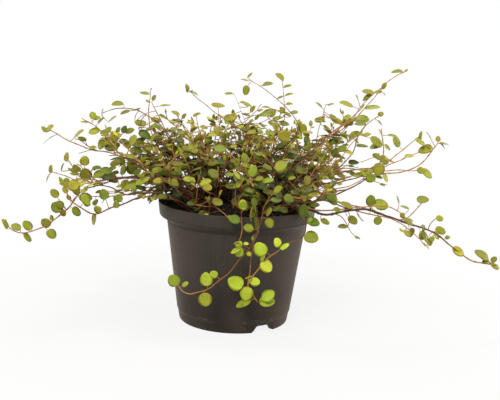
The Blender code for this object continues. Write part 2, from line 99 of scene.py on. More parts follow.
# gathers tubes or blades with their values, and becomes one piece
class Stock:
    def __init__(self):
        self.points, self.faces, self.values, self.maps, self.count = [], [], {}, [], 0

    def add(self, points, quads, ends, values, mapped=None):
        self.points.append(points)
        self.faces += (quads + self.count).tolist()
        self.faces += [[index + self.count for index in end] for end in ends]
        for label, numbers in values.items():
            self.values.setdefault(label, []).append(numbers)
        if mapped is not None:
            self.maps.append(mapped)
        self.count += len(points)

    # the same for an array of many alike: (how many, points in each, 3)
    def addMany(self, points, quads, ends, values, mapped=None):
        many, each = points.shape[:2]
        starts = np.arange(many)[:, None, None] * each
        allQuads = (quads[None] + starts).reshape(-1, quads.shape[-1])
        allEnds = [(np.array(end)[None] + starts[:, 0]).tolist() for end in ends]
        self.add(points.reshape(-1, 3), allQuads, [end for group in allEnds for end in group],
                 {label: numbers.reshape(-1) for label, numbers in values.items()},
                 None if mapped is None else mapped.reshape(-1, 2))

    def piece(self, name, material, slot, replaced):
        points = np.concatenate(self.points)
        values = {label: np.concatenate(numbers) for label, numbers in self.values.items()}
        mapped = np.concatenate(self.maps) if self.maps else None
        return newPiece(name, points, self.faces, material, replaced, values, mapped)


# a new material, its nodes and its main shader
def newMaterial(name, roughness):
    material = bpy.data.materials.new(name)
    material.use_nodes = True
    shader = material.node_tree.nodes["Principled BSDF"]
    shader.inputs["Roughness"].default_value = roughness
    return material, material.node_tree, shader


# one node of this kind with its settings
def addNode(tree, kind, **settings):
    made = tree.nodes.new(kind)
    for label, value in settings.items():
        setattr(made, label, value)
    return made


# gives a socket its value: what another node makes, a colour or a number
def feed(tree, socket, value):
    if isinstance(value, bpy.types.NodeSocket):
        tree.links.new(value, socket)
    elif isinstance(value, (tuple, list)) and len(value) == 3 and socket.type == "RGBA":
        socket.default_value = (*value, 1)
    else:
        socket.default_value = value


# one Math node, on up to three values
def calculate(tree, operation, first, second=0.0, third=0.0):
    made = addNode(tree, "ShaderNodeMath", operation=operation)
    for socket, value in zip(made.inputs, (first, second, third)):
        feed(tree, socket, value)
    return made.outputs[0]


# the first colour at share 0 and the second at share 1, or their product where the way is "MULTIPLY"
def blendColours(tree, share, first, second, way="MIX"):
    made = addNode(tree, "ShaderNodeMix", data_type="RGBA", blend_type=way)
    feed(tree, made.inputs[0], share)
    feed(tree, made.inputs[6], first)
    feed(tree, made.inputs[7], second)
    return made.outputs[2]


# a colour laid over the base, as strong as the product of these shares
def layOver(tree, base, colour, *shares):
    share = shares[0]
    for other in shares[1:]:
        share = calculate(tree, "MULTIPLY", share, other)
    return blendColours(tree, share, base, colour)


# outLow where the value is low, outHigh where it is high and a smooth step between
def steps(tree, value, low, high, outLow=0.0, outHigh=1.0):
    made = addNode(tree, "ShaderNodeMapRange", interpolation_type="SMOOTHSTEP")
    for socket, number in zip(made.inputs, (value, low, high, outLow, outHigh)):
        feed(tree, socket, number)
    return made.outputs[0]


# the place on a piece in metres, each way multiplied by its scale
def objectPlace(tree, scale=(1, 1, 1)):
    place = addNode(tree, "ShaderNodeTexCoord").outputs["Object"]
    if scale == (1, 1, 1):
        return place
    mapping = addNode(tree, "ShaderNodeMapping")
    mapping.inputs["Scale"].default_value = scale
    tree.links.new(place, mapping.inputs["Vector"])
    return mapping.outputs[0]


def heightOf(tree, place):
    split = addNode(tree, "ShaderNodeSeparateXYZ")
    tree.links.new(place, split.inputs[0])
    return split.outputs[2]


# cloudy noise from 0 to 1 whose clouds are about a metre divided by the scale
def noise(tree, place, scale, detail=3.0, rough=0.55):
    made = addNode(tree, "ShaderNodeTexNoise")
    tree.links.new(place, made.inputs["Vector"])
    made.inputs["Scale"].default_value = scale
    made.inputs["Detail"].default_value = detail
    made.inputs["Roughness"].default_value = rough
    return made.outputs[0]


# one of the numbers that a piece carries at its points
def pointValue(tree, label):
    return addNode(tree, "ShaderNodeAttribute", attribute_name=label).outputs["Fac"]


# colours along a value, from stops of (place, colour)
def colourRamp(tree, value, stops):
    made = addNode(tree, "ShaderNodeValToRGB")
    ramp = made.color_ramp
    while len(ramp.elements) < len(stops):
        ramp.elements.new(0.5)
    for element, (place, colour) in zip(ramp.elements, stops):
        element.position = place
        element.color = (*colour, 1)
    tree.links.new(value, made.inputs[0])
    return made.outputs[0]


def bump(tree, shader, height, strength, distance):
    made = addNode(tree, "ShaderNodeBump")
    made.inputs["Strength"].default_value = strength
    made.inputs["Distance"].default_value = distance
    tree.links.new(height, made.inputs["Height"])
    tree.links.new(made.outputs[0], shader.inputs["Normal"])


camera = {
    "place": (0, -0.728, 0.231), "aim": (0.0097, 0, 0.0933), "lens": 69.77,
    "roll": 2.3,  # degrees, which leans the plant a little to the right
}


# looks from its place to its aim, turned about that line by its roll
def makeCamera():
    place, aim = Vector(camera["place"]), Vector(camera["aim"])
    ahead = (aim - place).normalized()
    right = ahead.cross(Vector((0, 0, 1))).normalized()
    above = right.cross(ahead)
    turn = math.radians(camera["roll"])
    rolledRight = right * math.cos(turn) + above * math.sin(turn)
    rolledUp = above * math.cos(turn) - right * math.sin(turn)
    axes = Matrix((rolledRight, rolledUp, -ahead)).transposed()
    data = bpy.data.cameras.new("camera")
    data.lens = camera["lens"]
    data.sensor_width = 36
    data.clip_start = 0.01
    made = bpy.data.objects.new("camera", data)
    made.matrix_world = Matrix.Translation(place) @ axes.to_4x4()
    bpy.context.scene.collection.objects.link(made)
    bpy.context.scene.camera = made


studio = {
    "ambient": 0.13,
    "floor": (0.5, 0.495, 0.48),
    "floorReach": 4.0,
    "glow": (0.86, 1.0), "glowReach": (0.1, 0.32),  # the floor's own white near the pot and far off
    "lamps": {  # place, aim, width, watts, how blue the light is with red at 1
        "keyLamp": ((-0.4, -1.35, 1.2), (0, 0, 0.12), 0.6, 27.0, 0.93),
        "fillLamp": ((1.1, -1.1, 0.6), (0, 0, 0.1), 0.8, 6.0, 0.93),
        "topLamp": ((0.1, 0.15, 1.5), (0, 0, 0.1), 0.5, 15.0, 0.93),
        "leftLamp": ((-1.3, 0.35, 0.45), (0, 0, 0.08), 0.7, 6.5, 0.78),
        "rightLamp": ((1.3, 0.35, 0.45), (0, 0, 0.08), 0.7, 14.5, 0.78),
    },
}


# 1 for what the camera sees straight, mirrored or through glass
def seenRays(tree):
    path = addNode(tree, "ShaderNodeLightPath")
    total = path.outputs["Is Camera Ray"]
    for label in ("Is Glossy Ray", "Is Transmission Ray"):
        total = calculate(tree, "MAXIMUM", total, path.outputs[label])
    return total


# a white world that gives little light of its own, round lamps turned to their aims, and the floor
def makeStudio():
    world = bpy.data.worlds.new("studio")
    bpy.context.scene.world = world
    world.use_nodes = True
    tree = world.node_tree
    background = tree.nodes["Background"]
    background.inputs["Color"].default_value = (1, 1, 1, 1)
    strength = calculate(tree, "MULTIPLY_ADD", seenRays(tree), 1 - studio["ambient"], studio["ambient"])
    tree.links.new(strength, background.inputs["Strength"])
    for label, (place, aim, width, watts, blue) in studio["lamps"].items():
        data = bpy.data.lights.new(label, "AREA")
        data.shape = "DISK"
        data.size = width
        data.energy = watts
        data.color = (1, 1 - 0.4 * (1 - blue), blue)  # green falls by 0.4 of what blue does
        lamp = bpy.data.objects.new(label, data)
        lamp.location = place
        lamp.rotation_euler = (Vector(aim) - Vector(place)).to_track_quat("-Z", "Y").to_euler()
        bpy.context.scene.collection.objects.link(lamp)
    makeFloor()


# a square that catches the shadow and turns to plain white away from the pot
def makeFloor():
    material, tree, shader = newMaterial("paleFloor", 0.9)
    shader.inputs["Base Color"].default_value = (*studio["floor"], 1)
    glow = addNode(tree, "ShaderNodeEmission")
    mix = addNode(tree, "ShaderNodeMixShader")
    away = addNode(tree, "ShaderNodeVectorMath", operation="LENGTH")
    tree.links.new(objectPlace(tree), away.inputs[0])
    share = steps(tree, away.outputs["Value"], *studio["glowReach"], *studio["glow"])
    tree.links.new(calculate(tree, "MULTIPLY", seenRays(tree), share), mix.inputs[0])
    tree.links.new(shader.outputs[0], mix.inputs[1])
    tree.links.new(glow.outputs[0], mix.inputs[2])
    tree.links.new(mix.outputs[0], tree.nodes["Material Output"].inputs["Surface"])
    mesh = bpy.data.meshes.new("floor")
    reach = studio["floorReach"]
    corners = [(-reach, -reach, 0), (reach, -reach, 0), (reach, reach, 0), (-reach, reach, 0)]
    mesh.from_pydata(corners, [], [(0, 1, 2, 3)])
    mesh.materials.append(material)
    floor = bpy.data.objects.new("floor", mesh)
    bpy.context.scene.collection.objects.link(floor)


pot = {
    "rimRadius": 60, "height": 92, "lip": 0.5, "bandHeight": 9, "bandTaper": 1, "bandRound": 2,
    "underSlope": 34, "underRings": (0.35, 0.75, 0.95, 1),  # in degrees, and shares of the slope
    "neckRadius": 53.2, "groove": ((0.4, 0.3), (0.4, 0.6), (0.1, 1.1)),  # how far in and how far below
    "wallTop": (0.15, 1.6), "wallRings": 14,
    "heelRadius": 43.8, "heelHeight": 9, "heelStep": 0.5, "heelClear": 0.6,
    "footRadius": 41.8, "footWidth": 3.8, "footRings": (6.5, 4.5, 2.5, 1.2), "footEdge": 0.5,
    "floorRise": 3.2, "floorSlope": 1.0, "hubRadius": 18, "middle": 1.5, "wall": 1.0,
    "notchAngle": -56.5, "notchWidth": 20, "notchTop": 9.5, "notchHeight": 5.0, "notchDepth": (8, 1.5),
    "holes": 5, "holeRadius": 3.5, "holeCircle": 28, "holeSides": 20, "drill": (3, 4),
    "uneven": ((0.12, 2, 0.7), (0.08, 3, 2.1)),  # how deep, how many times round, from what angle
    "sides": 288,
}


# the height at which the band's underside meets the wall
def neckHeight():
    turn = math.radians(90 - pot["underSlope"])
    edge = pot["rimRadius"] - pot["bandTaper"] - pot["bandRound"] * (1 - math.cos(turn))
    drop = pot["bandRound"] * math.sin(turn) + (edge - pot["neckRadius"]) / math.tan(turn)
    return pot["height"] - pot["bandHeight"] - drop


# the outside as (radius, height) from the rim's inner lip down to the middle of the floor: arcs at the lip
# and at the band's lower edge, a slope in to the neck, a groove there, the wall's straight taper, the heel
# and the foot
def potOutline():
    p = pot
    lipTurn = np.radians([0, 30, 60, 90])
    edgeTurn = np.radians(np.linspace(0, 90 - p["underSlope"], 5))
    bandBottom, neck = p["height"] - p["bandHeight"], neckHeight()
    lip = np.stack([p["rimRadius"] - p["lip"] * (1 - np.sin(lipTurn)),
                    p["height"] - p["lip"] * (1 - np.cos(lipTurn))], -1)
    edge = np.stack([p["rimRadius"] - p["bandTaper"] - p["bandRound"] * (1 - np.cos(edgeTurn)),
                     bandBottom - p["bandRound"] * np.sin(edgeTurn)], -1)
    along = np.array(p["underRings"])[:, None]
    under = edge[-1] + (np.array([p["neckRadius"], neck]) - edge[-1]) * along
    groove = [(p["neckRadius"] - inwards, neck - below) for inwards, below in p["groove"]]
    inwards, below = p["wallTop"]
    slope = (p["neckRadius"] - inwards - p["heelRadius"]) / (neck - below - p["heelHeight"])
    heights = np.linspace(neck - below, p["heelHeight"] + p["heelClear"], p["wallRings"])
    wall = np.stack([p["heelRadius"] + slope * (heights - p["heelHeight"]), heights], -1)
    heelFoot = (p["heelRadius"] - p["heelStep"], p["heelHeight"] - p["heelStep"])
    heel = [(p["heelRadius"], p["heelHeight"]), heelFoot]
    heights = np.array(p["footRings"])
    taper = (heelFoot[0] - p["footRadius"]) / heelFoot[1]
    lower = np.stack([p["footRadius"] + taper * heights, heights], -1)
    inside = p["footRadius"] - p["footWidth"]
    foot = [(p["footRadius"], p["footEdge"]), (p["footRadius"] - p["footEdge"], 0), (inside, 0),
            (inside - p["floorSlope"], p["floorRise"]), (p["hubRadius"] + p["floorSlope"], p["floorRise"]),
            (p["hubRadius"], 0), (p["middle"], 0)]
    return np.vstack([lip, edge, under, groove, wall, heel, lower, foot])


# the outline turned about Z, with its foot lifted over the notches
def makePot(material):
    p = pot
    turn = np.arange(p["sides"]) * 2 * math.pi / p["sides"]
    radius, height = potOutline().T[:, :, None]
    # below the heel, heights are squeezed up towards it near two opposite angles
    away = (np.degrees(turn) - p["notchAngle"] + 90) % 180 - 90
    across = np.abs(np.radians(away)) * p["footRadius"]
    rise = p["notchHeight"] * (1 - smoothStep(p["notchTop"] / 2, p["notchWidth"] / 2, across))
    inside = p["footRadius"] - p["footWidth"]
    inFoot = smoothStep(inside - p["notchDepth"][0], inside - p["notchDepth"][1], radius)
    low = np.clip(1 - height / (p["heelHeight"] - p["heelClear"]), 0, 1)
    lifted = height + rise[None] * low * inFoot
    # the slight unevenness of thin moulded plastic
    wobble = sum(depth * np.sin(times * turn + start) for depth, times, start in p["uneven"])
    share = np.clip(height / p["height"], 0, 1) ** 2
    r = radius + wobble[None] * share * (radius > p["hubRadius"])
    points = np.stack([r * np.cos(turn), r * np.sin(turn), lifted + 0 * turn], -1) * mm
    quads, ends = ringFaces(*points.shape[:2])
    faces = quads[:, ::-1].tolist() + [ends[1][::-1]]
    points = points.reshape(-1, 3)
    piece = newPiece("nursery_pot_shell", points, faces, material, ("nursery_pot",))
    wallAndDrill(piece)


# gives the sheet its wall with Solidify, cuts the drain holes and keeps the result as the piece's mesh
def wallAndDrill(piece):
    wall = piece.modifiers.new("Wall", "SOLIDIFY")
    wall.thickness = pot["wall"] * mm
    wall.offset = -1
    wall.use_even_offset = True
    drill = bpy.data.objects.new("drill", drillMesh())
    bpy.context.scene.collection.objects.link(drill)
    holes = piece.modifiers.new("Holes", "BOOLEAN")
    holes.object = drill
    bpy.context.view_layer.update()
    evaluated = piece.evaluated_get(bpy.context.evaluated_depsgraph_get())
    finished = bpy.data.meshes.new_from_object(evaluated)
    piece.modifiers.clear()
    piece.data = finished
    bpy.data.objects.remove(drill)


# upright cylinders through the raised part of the floor, one for each drain hole
def drillMesh():
    sides, (below, above) = pot["holeSides"], pot["drill"]
    heights = (pot["floorRise"] - below, pot["floorRise"] + above)
    turn = np.arange(sides) * 2 * math.pi / sides
    drills = Stock()
    quads, ends = ringFaces(2, sides)
    for hole in range(pot["holes"]):
        angle = math.radians(pot["notchAngle"] + 360 * (hole + 0.5) / pot["holes"])
        x = pot["holeCircle"] * math.cos(angle) + pot["holeRadius"] * np.cos(turn)
        y = pot["holeCircle"] * math.sin(angle) + pot["holeRadius"] * np.sin(turn)
        rings = [np.stack([x, y, np.full(sides, height)], -1) for height in heights]
        drills.add(np.vstack(rings) * mm, quads, ends, {})
    mesh = bpy.data.meshes.new("drill")
    mesh.from_pydata(np.concatenate(drills.points).tolist(), [], drills.faces)
    return mesh


# a place that follows the wall's taper: the way out from the pot's axis, as long as the rim's radius, and
# a twentieth of the height
def downTheWall(tree):
    way = addNode(tree, "ShaderNodeVectorMath", operation="NORMALIZE")
    tree.links.new(objectPlace(tree, (1, 1, 0)), way.inputs[0])
    sized = addNode(tree, "ShaderNodeVectorMath", operation="SCALE")
    tree.links.new(way.outputs[0], sized.inputs[0])
    sized.inputs["Scale"].default_value = pot["rimRadius"] * mm
    total = addNode(tree, "ShaderNodeVectorMath", operation="ADD")
    tree.links.new(sized.outputs[0], total.inputs[0])
    tree.links.new(objectPlace(tree, (0, 0, 0.05)), total.inputs[1])
    return total.outputs[0]


# from 0 to 1 over the first range of heights and back to 0 over the second, in metres
def belt(tree, height, fadeIn, fadeOut):
    return calculate(tree, "MULTIPLY", steps(tree, height, *fadeIn), steps(tree, height, *fadeOut))


plastic = {
    "dark": (0.0303, 0.0252, 0.021), "pale": (0.0447, 0.0367, 0.0303),  # between the drawing lines, on them
    # shade is the colour of the painted shade low on the wall and under the band
    "worn": (0.05, 0.04, 0.031), "shade": (0.018, 0.0145, 0.012), "bloom": (0.075, 0.055, 0.038),
    "specks": (0.34, 0.31, 0.27), "scuffs": (0.2, 0.175, 0.15), "dust": (1, 0.74, 0.46),
    "underBand": ((0.0775, 0.0785), (0.0845, 0.082)), "atHeel": ((0.0065, 0.0088), (0.0125, 0.0092)),
}


# near-black plastic with the mould's upright drawing lines, dust, lime low on the wall, and painted shade
# towards the foot and under the band
def potPlastic():
    material, tree, shader = newMaterial("blackNurseryPlastic", 0.5)
    shader.inputs["Specular IOR Level"].default_value = 0.14
    shader.inputs["Sheen Weight"].default_value = 0.08
    shader.inputs["Sheen Roughness"].default_value = 0.5
    shader.inputs["Sheen Tint"].default_value = (*plastic["dust"], 1)
    place = objectPlace(tree)
    height = heightOf(tree, place)
    streaks = noise(tree, downTheWall(tree), 900, 4, 0.65)
    broad = noise(tree, objectPlace(tree, (1, 1, 0.3)), 45, 3)
    base = blendColours(tree, steps(tree, streaks, 0.33, 0.7), plastic["dark"], plastic["pale"])
    base = layOver(tree, base, plastic["worn"], steps(tree, broad, 0.4, 0.7, 0, 0.35))
    # painted shade: darker towards the foot
    base = layOver(tree, base, plastic["shade"], steps(tree, height, 0.055, 0.0, 0, 0.85))
    # painted shade on the underside of the band
    base = layOver(tree, base, plastic["shade"], belt(tree, height, *plastic["underBand"]), 0.65)
    # a brown bloom of dried water towards the foot
    low, patches = steps(tree, height, 0.03, 0.008), steps(tree, broad, 0.35, 0.65, 0.05, 0.3)
    base = layOver(tree, base, plastic["bloom"], low, patches)
    # specks of lime, most of them near the foot
    specks = steps(tree, noise(tree, place, 900, 2), 0.73, 0.755)
    base = layOver(tree, base, plastic["specks"], specks, steps(tree, height, 0.03, 0.002, 0.25, 0.8))
    # pale scuffs on the edge of the heel
    scuffs = steps(tree, noise(tree, objectPlace(tree, (1, 1, 5)), 170, 4, 0.7), 0.54, 0.7, 0, 0.55)
    base = layOver(tree, base, plastic["scuffs"], scuffs, belt(tree, height, *plastic["atHeel"]))
    tree.links.new(base, shader.inputs["Base Color"])
    tree.links.new(steps(tree, streaks, 0.3, 0.7, 0.46, 0.6), shader.inputs["Roughness"])
    grain = calculate(tree, "ADD", calculate(tree, "MULTIPLY", streaks, 0.6), noise(tree, place, 1500, 2))
    bump(tree, shader, grain, 0.17, 0.0002)
    return material


soil = {
    "top": 86, "edge": 78, "radius": 51.7, "sides": 220, "rings": 90, "middle": 0.3, "calmEdge": 4,
    "under": ((51.4, 74), (42.4, 9), (40, 4.5), (16.7, 4.5), (16.7, 1.4), (1, 1.4)),
    "swell": (0.9, 16), "clods": (0.8, 6), "crumbs": (0.45, 2.4),  # height and size
    "lumps": 1100, "lumpSize": (0.35, 1.7), "jagged": (0.55, 1.25), "squashed": (0.6, 1.3),
    "sunk": 0.35, "lumpClear": 2,
    "moss": ((-32, 12), (-27, 9), (-37, 18), (-19, 12)), "mossReach": 5,
}


# a parabola from the middle down to the wall
def soilHeight(radius):
    return soil["top"] - (soil["top"] - soil["edge"]) * (radius / soil["radius"]) ** 2


# the crumbly surface: the dome and three sizes of waves, which die away at the wall
def soilPoint(x, y):
    flat = np.stack([x, y, 0 * x], -1)
    swell, clods, crumbs = soil["swell"], soil["clods"], soil["crumbs"]
    rough = swell[0] * waves(flat, swell[1], 3) + clods[0] * np.abs(waves(flat, clods[1], 4))
    rough = rough + crumbs[0] * waves(flat, crumbs[1], 5, 40)
    radius = np.hypot(x, y)
    calm = smoothStep(soil["radius"], soil["radius"] - soil["calmEdge"], radius)
    return soilHeight(np.minimum(radius, soil["radius"])) + rough * calm


# rings from the middle of the dome out to the wall, and on down to a plain underside
def soilBlock():
    turn = np.arange(soil["sides"]) * 2 * math.pi / soil["sides"]
    radii = np.linspace(soil["middle"], soil["radius"], soil["rings"])[:, None]
    x, y = radii * np.cos(turn), radii * np.sin(turn)
    top = np.stack([x, y, soilPoint(x, y)], -1)
    radii, heights = np.array(soil["under"]).T[:, :, None]
    below = np.stack([radii * np.cos(turn), radii * np.sin(turn), heights + 0 * turn], -1)
    points = np.concatenate([top, below]) * mm
    quads, ends = ringFaces(len(points), soil["sides"])
    return points.reshape(-1, 3), quads[:, ::-1], [end[::-1] for end in ends]


# the twelve corners and twenty faces of an icosahedron
def lumpSolid():
    t = (1 + math.sqrt(5)) / 2
    corners = np.array([(-1, t, 0), (1, t, 0), (-1, -t, 0), (1, -t, 0), (0, -1, t), (0, 1, t),
                        (0, -1, -t), (0, 1, -t), (t, 0, -1), (t, 0, 1), (-t, 0, -1), (-t, 0, 1)])
    faces = [(0, 11, 5), (0, 5, 1), (0, 1, 7), (0, 7, 10), (0, 10, 11), (1, 5, 9), (5, 11, 4),
             (11, 10, 2), (10, 7, 6), (7, 1, 8), (3, 9, 4), (3, 4, 2), (3, 2, 6), (3, 6, 8), (3, 8, 9),
             (4, 9, 5), (2, 4, 11), (6, 2, 10), (8, 6, 7), (9, 8, 1)]
    return unit(corners), np.array(faces)


# lumps strewn over the soil, each squashed and turned its own way and half sunk
def strewLumps(stock, rng):
    corners, faces = lumpSolid()
    count, (small, large) = soil["lumps"], soil["lumpSize"]
    radius = (soil["radius"] - soil["lumpClear"]) * np.sqrt(rng.uniform(0, 1, count))
    turn = rng.uniform(0, 2 * math.pi, count)
    x, y = radius * np.cos(turn), radius * np.sin(turn)
    sizes = small + (large - small) * rng.uniform(0, 1, (count, 1, 1)) ** 2
    shape = corners[None] * rng.uniform(*soil["jagged"], (count, len(corners), 1)) * sizes
    shape = shape * rng.uniform(*soil["squashed"], (count, 1, 3))
    spin = turn[:, None]
    spun = np.stack([shape[..., 0] * np.cos(spin) - shape[..., 1] * np.sin(spin),
                     shape[..., 0] * np.sin(spin) + shape[..., 1] * np.cos(spin), shape[..., 2]], -1)
    middle = np.stack([x, y, soilPoint(x, y) + sizes[:, 0, 0] * soil["sunk"]], -1)
    # lumps near the middle of a tuft are moss
    tuft = np.array(soil["moss"])
    nearest = np.hypot(x[:, None] - tuft[:, 0], y[:, None] - tuft[:, 1]).min(-1)
    moss = (nearest < soil["mossReach"] * rng.uniform(0.2, 1, count)).astype(float)
    tone = rng.uniform(0, 1, count)
    moss = moss * rng.uniform(0.4, 1, count)
    each = np.ones((1, len(corners)))
    values = {"lump": tone[:, None] * each, "moss": moss[:, None] * each}
    stock.addMany((spun + middle[:, None]) * mm, faces, [], values)


peat = {
    "wet": (0.008, 0.006, 0.005), "dry": (0.036, 0.024, 0.016), "algae": (0.028, 0.03, 0.01),
    "fibre": (0.15, 0.1, 0.055), "moss": (0.3, 0.3, 0.04),
}


# dark crumbs with patches of algae, moss on its tufts and a pale fibre here and there among the lumps
def moistPeat():
    material, tree, shader = newMaterial("moistPeat", 0.95)
    shader.inputs["Specular IOR Level"].default_value = 0.2
    place = objectPlace(tree)
    grain = noise(tree, place, 700, 5, 0.7)
    base = blendColours(tree, steps(tree, grain, 0.35, 0.7), peat["wet"], peat["dry"])
    patches = steps(tree, noise(tree, place, 120, 3), 0.55, 0.75, 0, 0.6)
    base = layOver(tree, base, peat["algae"], patches)
    base = layOver(tree, base, peat["fibre"], steps(tree, pointValue(tree, "lump"), 0.93, 0.98))
    base = layOver(tree, base, peat["moss"], pointValue(tree, "moss"))
    tree.links.new(base, shader.inputs["Base Color"])
    bump(tree, shader, grain, 0.8, 0.0008)
    return material


def makeSoil(material):
    stock = Stock()
    points, quads, ends = soilBlock()
    stock.add(points, quads, ends, {"lump": np.zeros(len(points)), "moss": np.zeros(len(points))})
    strewLumps(stock, np.random.default_rng(7))
    stock.piece("potting_soil_surface", material, "potting_soil", ("potting_soil",))


# a shoot's root on the soil (x, y), then the points that its stem runs through (x, y, z), in millimetres
leftShoots = {
    "left_runner": ((-24, -8), (-46, -9, 103), (-82, -12, 109), (-112, -30, 103), (-122, -38, 90),
                    (-138, -44, 77), (-154, -49, 72.5), (-162, -50, 76), (-165, -50, 82)),
    "left_lower_runner": ((-30, -22), (-50, -25, 99), (-69, -35, 99), (-88, -45, 93), (-103, -52, 89),
                          (-111, -58, 95), (-117, -62, 101), (-121, -64, 111)),
    "left_fork": ((-34, 8), (-52, 13, 106), (-88, 15, 104), (-106, 11, 100), (-120, 10, 100),
                  (-135, 12, 105), (-147, 14, 108)),
    "left_middle_shoot": ((-26, 18), (-46, 26, 102), (-70, 30, 104), (-95, 30, 102), (-118, 32, 102),
                          (-129, 32, 107), (-137, 32, 117)),
    "left_upper_runner": ((-18, 2), (-38, 4, 104), (-65, 5, 109), (-81, -2, 120), (-93, -8, 126),
                          (-111, -15, 130), (-124, -21, 136), (-140, -28, 146)),
    "left_high_shoot": ((-20, 26), (-45, 35, 101), (-71, 40, 108), (-86, 42, 115), (-100, 45, 122),
                        (-113, 50, 137), (-128, 55, 145)),
    "left_arching_shoot": ((-12, 14), (-31, 18, 112), (-50, 20, 127), (-60, 20, 144), (-71, 18, 153),
                           (-90, 10, 159), (-105, 4, 155)),
    "left_upright_sprig": ((-32, 34), (-50, 50, 105), (-65, 60, 121), (-74, 62, 141), (-74, 62, 168)),
    "left_twin_sprig": ((-14, 33), (-31, 42, 108), (-49, 45, 124), (-62, 45, 144), (-71, 45, 161)),
    "left_back_sprig": ((-6, 41), (-20, 55, 104), (-37, 70, 121), (-46, 72, 138), (-54, 76, 150)),
}

rightShoots = {
    "right_runner": ((36, -22), (45, -45, 99), (60, -63, 97), (90, -60, 101), (109, -55, 95),
                     (126, -50, 89), (141, -46, 84), (158, -42, 72), (175, -38, 61), (194, -34, 58)),
    "right_front_shoot": ((14, -37), (34, -50, 100), (60, -60, 99), (84, -62, 102.5), (97, -65, 104.5),
                          (106, -69, 105), (115, -72, 101)),
    "right_long_shoot": ((22, -20), (40, -33, 98), (55, -39, 101), (84, -40, 114), (97, -43, 123),
                         (117, -48, 127), (127, -50, 132), (139, -54, 149)),
    "right_cluster_shoot": ((30, -12), (50, -26, 107), (77, -38, 119), (91, -42, 126), (101, -45, 133),
                            (100, -46, 157)),
    "right_middle_shoot": ((34, 0), (48, 0, 104), (62, 0, 111), (91, 2, 120), (108, 4, 122),
                           (122, 10, 132), (140, 18, 146)),
    "right_low_shoot": ((41, -9), (60, -15, 98), (84, -20, 93), (108, -18, 88), (128, -12, 86),
                        (140, -8, 98)),
    "right_high_runner": ((24, 2), (36, 6, 106), (47, 10, 123), (67, 14, 140), (84, 20, 152),
                          (99, 28, 167), (118, 36, 188), (130, 40, 194)),
    "right_high_twin": ((18, 30), (33, 40, 102), (50, 45, 110), (69, 45, 128), (85, 46, 146),
                        (100, 46, 169), (113, 46, 181)),
    "right_back_sprig": ((21, 33), (48, 53, 102), (76, 60, 107), (93, 62, 124), (99, 64, 142),
                         (115, 70, 156)),
    "right_far_shoot": ((38, 22), (56, 40, 101), (76, 50, 100), (109, 58, 109), (133, 66, 119),
                        (152, 70, 127)),
    "right_back_runner": ((31, 30), (44, 46, 98), (62, 69, 100), (87, 90, 98), (122, 95, 105),
                          (163, 100, 106)),
    "right_drooping_shoot": ((42, 9), (60, 15, 99), (81, 20, 90), (105, 22, 85), (127, 25, 76),
                             (145, 30, 63), (153, 32, 55)),
}

crownShoots = {
    "crown_left_sprig": ((-4, 10), (-2, 20, 108), (1, 30, 128), (-6, 32, 147), (-14, 32, 152),
                         (-43, 20, 175)),
    "crown_middle_sprig": ((-6, 26), (-10, 45, 104), (-14, 60, 123), (-19, 62, 159)),
    "crown_front_sprig": ((-14, -6), (-20, -8, 110), (-26, -10, 132), (-33, -14, 158)),
    "crown_top_sprig": ((2, 4), (6, 8, 110), (7, 10, 131), (1, 8, 159), (-6, 6, 174)),
    "crown_right_sprig": ((10, 20), (20, 32, 108), (29, 40, 127), (35, 42, 151), (32, 48, 183)),
    "crown_hooked_shoot": ((16, -10), (24, -22, 106), (31, -30, 130), (42, -27, 156), (34, -24, 166),
                           (16, -20, 180), (4, -18, 187)),
    "crown_leaning_sprig": ((20, 9), (36, 14, 106), (55, 20, 123), (62, 23, 150), (66, 26, 166)),
    "crown_fill_left": ((-22, -22), (-38, -30, 104), (-50, -40, 121), (-58, -46, 134)),
    "crown_fill_front": ((6, -22), (10, -34, 103), (7, -44, 118), (0, -52, 130)),
    "crown_fill_corner": ((-9, -28), (-14, -43, 101), (-22, -57, 110), (-30, -70, 116)),
    "crown_fill_right": ((27, -28), (38, -41, 103), (48, -52, 113), (58, -62, 122)),
    "crown_fill_back": ((30, 14), (44, 27, 110), (54, 46, 130), (58, 60, 145)),
}

frontShoots = {
    "front_trailer": ((3, -40), (10, -53, 97), (14, -63, 94), (15, -70, 83), (5, -73, 67),
                      (-11, -72, 48), (-24, -69, 39), (-31, -68, 37), (-36, -67, 39), (-40, -66, 43)),
    "front_short_trailer": ((9, -30), (18, -50, 98), (18, -63, 95), (15, -66, 84), (12, -65, 72),
                            (11, -62, 55), (10, -60, 43), (17, -59, 30)),
    "front_side_trailer": ((31, -38), (42, -47, 97), (49, -55, 92), (48, -60, 81), (37, -67, 76),
                           (25, -76, 69), (16, -79, 60), (12, -80, 54)),
    "front_middle_sprig": ((-6, -38), (-1, -52, 98), (3, -64, 96), (4, -71, 87), (2, -73, 76)),
    "front_left_sprig": ((-17, -36), (-18, -50, 97), (-13, -60, 97), (-8, -65, 95), (-6, -67, 93)),
}

backShoots = {
    "back_left_runner": ((-38, 18), (-60, 55, 106), (-80, 88, 112), (-102, 112, 108)),
    "back_left_shoot": ((-25, 34), (-40, 70, 110), (-52, 104, 117), (-62, 132, 112)),
    "back_inner_shoot": ((-10, 36), (-14, 78, 114), (-20, 112, 121), (-16, 140, 112)),
    "back_middle_shoot": ((5, 36), (8, 74, 117), (10, 110, 128), (14, 142, 124)),
    "back_outer_shoot": ((14, 40), (26, 80, 112), (36, 116, 119), (46, 140, 112)),
    "back_right_shoot": ((22, 30), (50, 74, 112), (72, 104, 121), (86, 122, 128)),
    "back_right_runner": ((32, 23), (47, 40, 100), (72, 62, 109), (98, 84, 112), (120, 106, 116)),
    "back_trailer": ((-14, 36), (-20, 56, 98), (-25, 66, 98), (-30, 78, 84), (-33, 76, 66),
                     (-28, 72, 50)),
    "back_side_trailer": ((10, 33), (12, 55, 98), (15, 66, 98), (22, 78, 86), (28, 80, 68),
                          (26, 76, 54)),
}

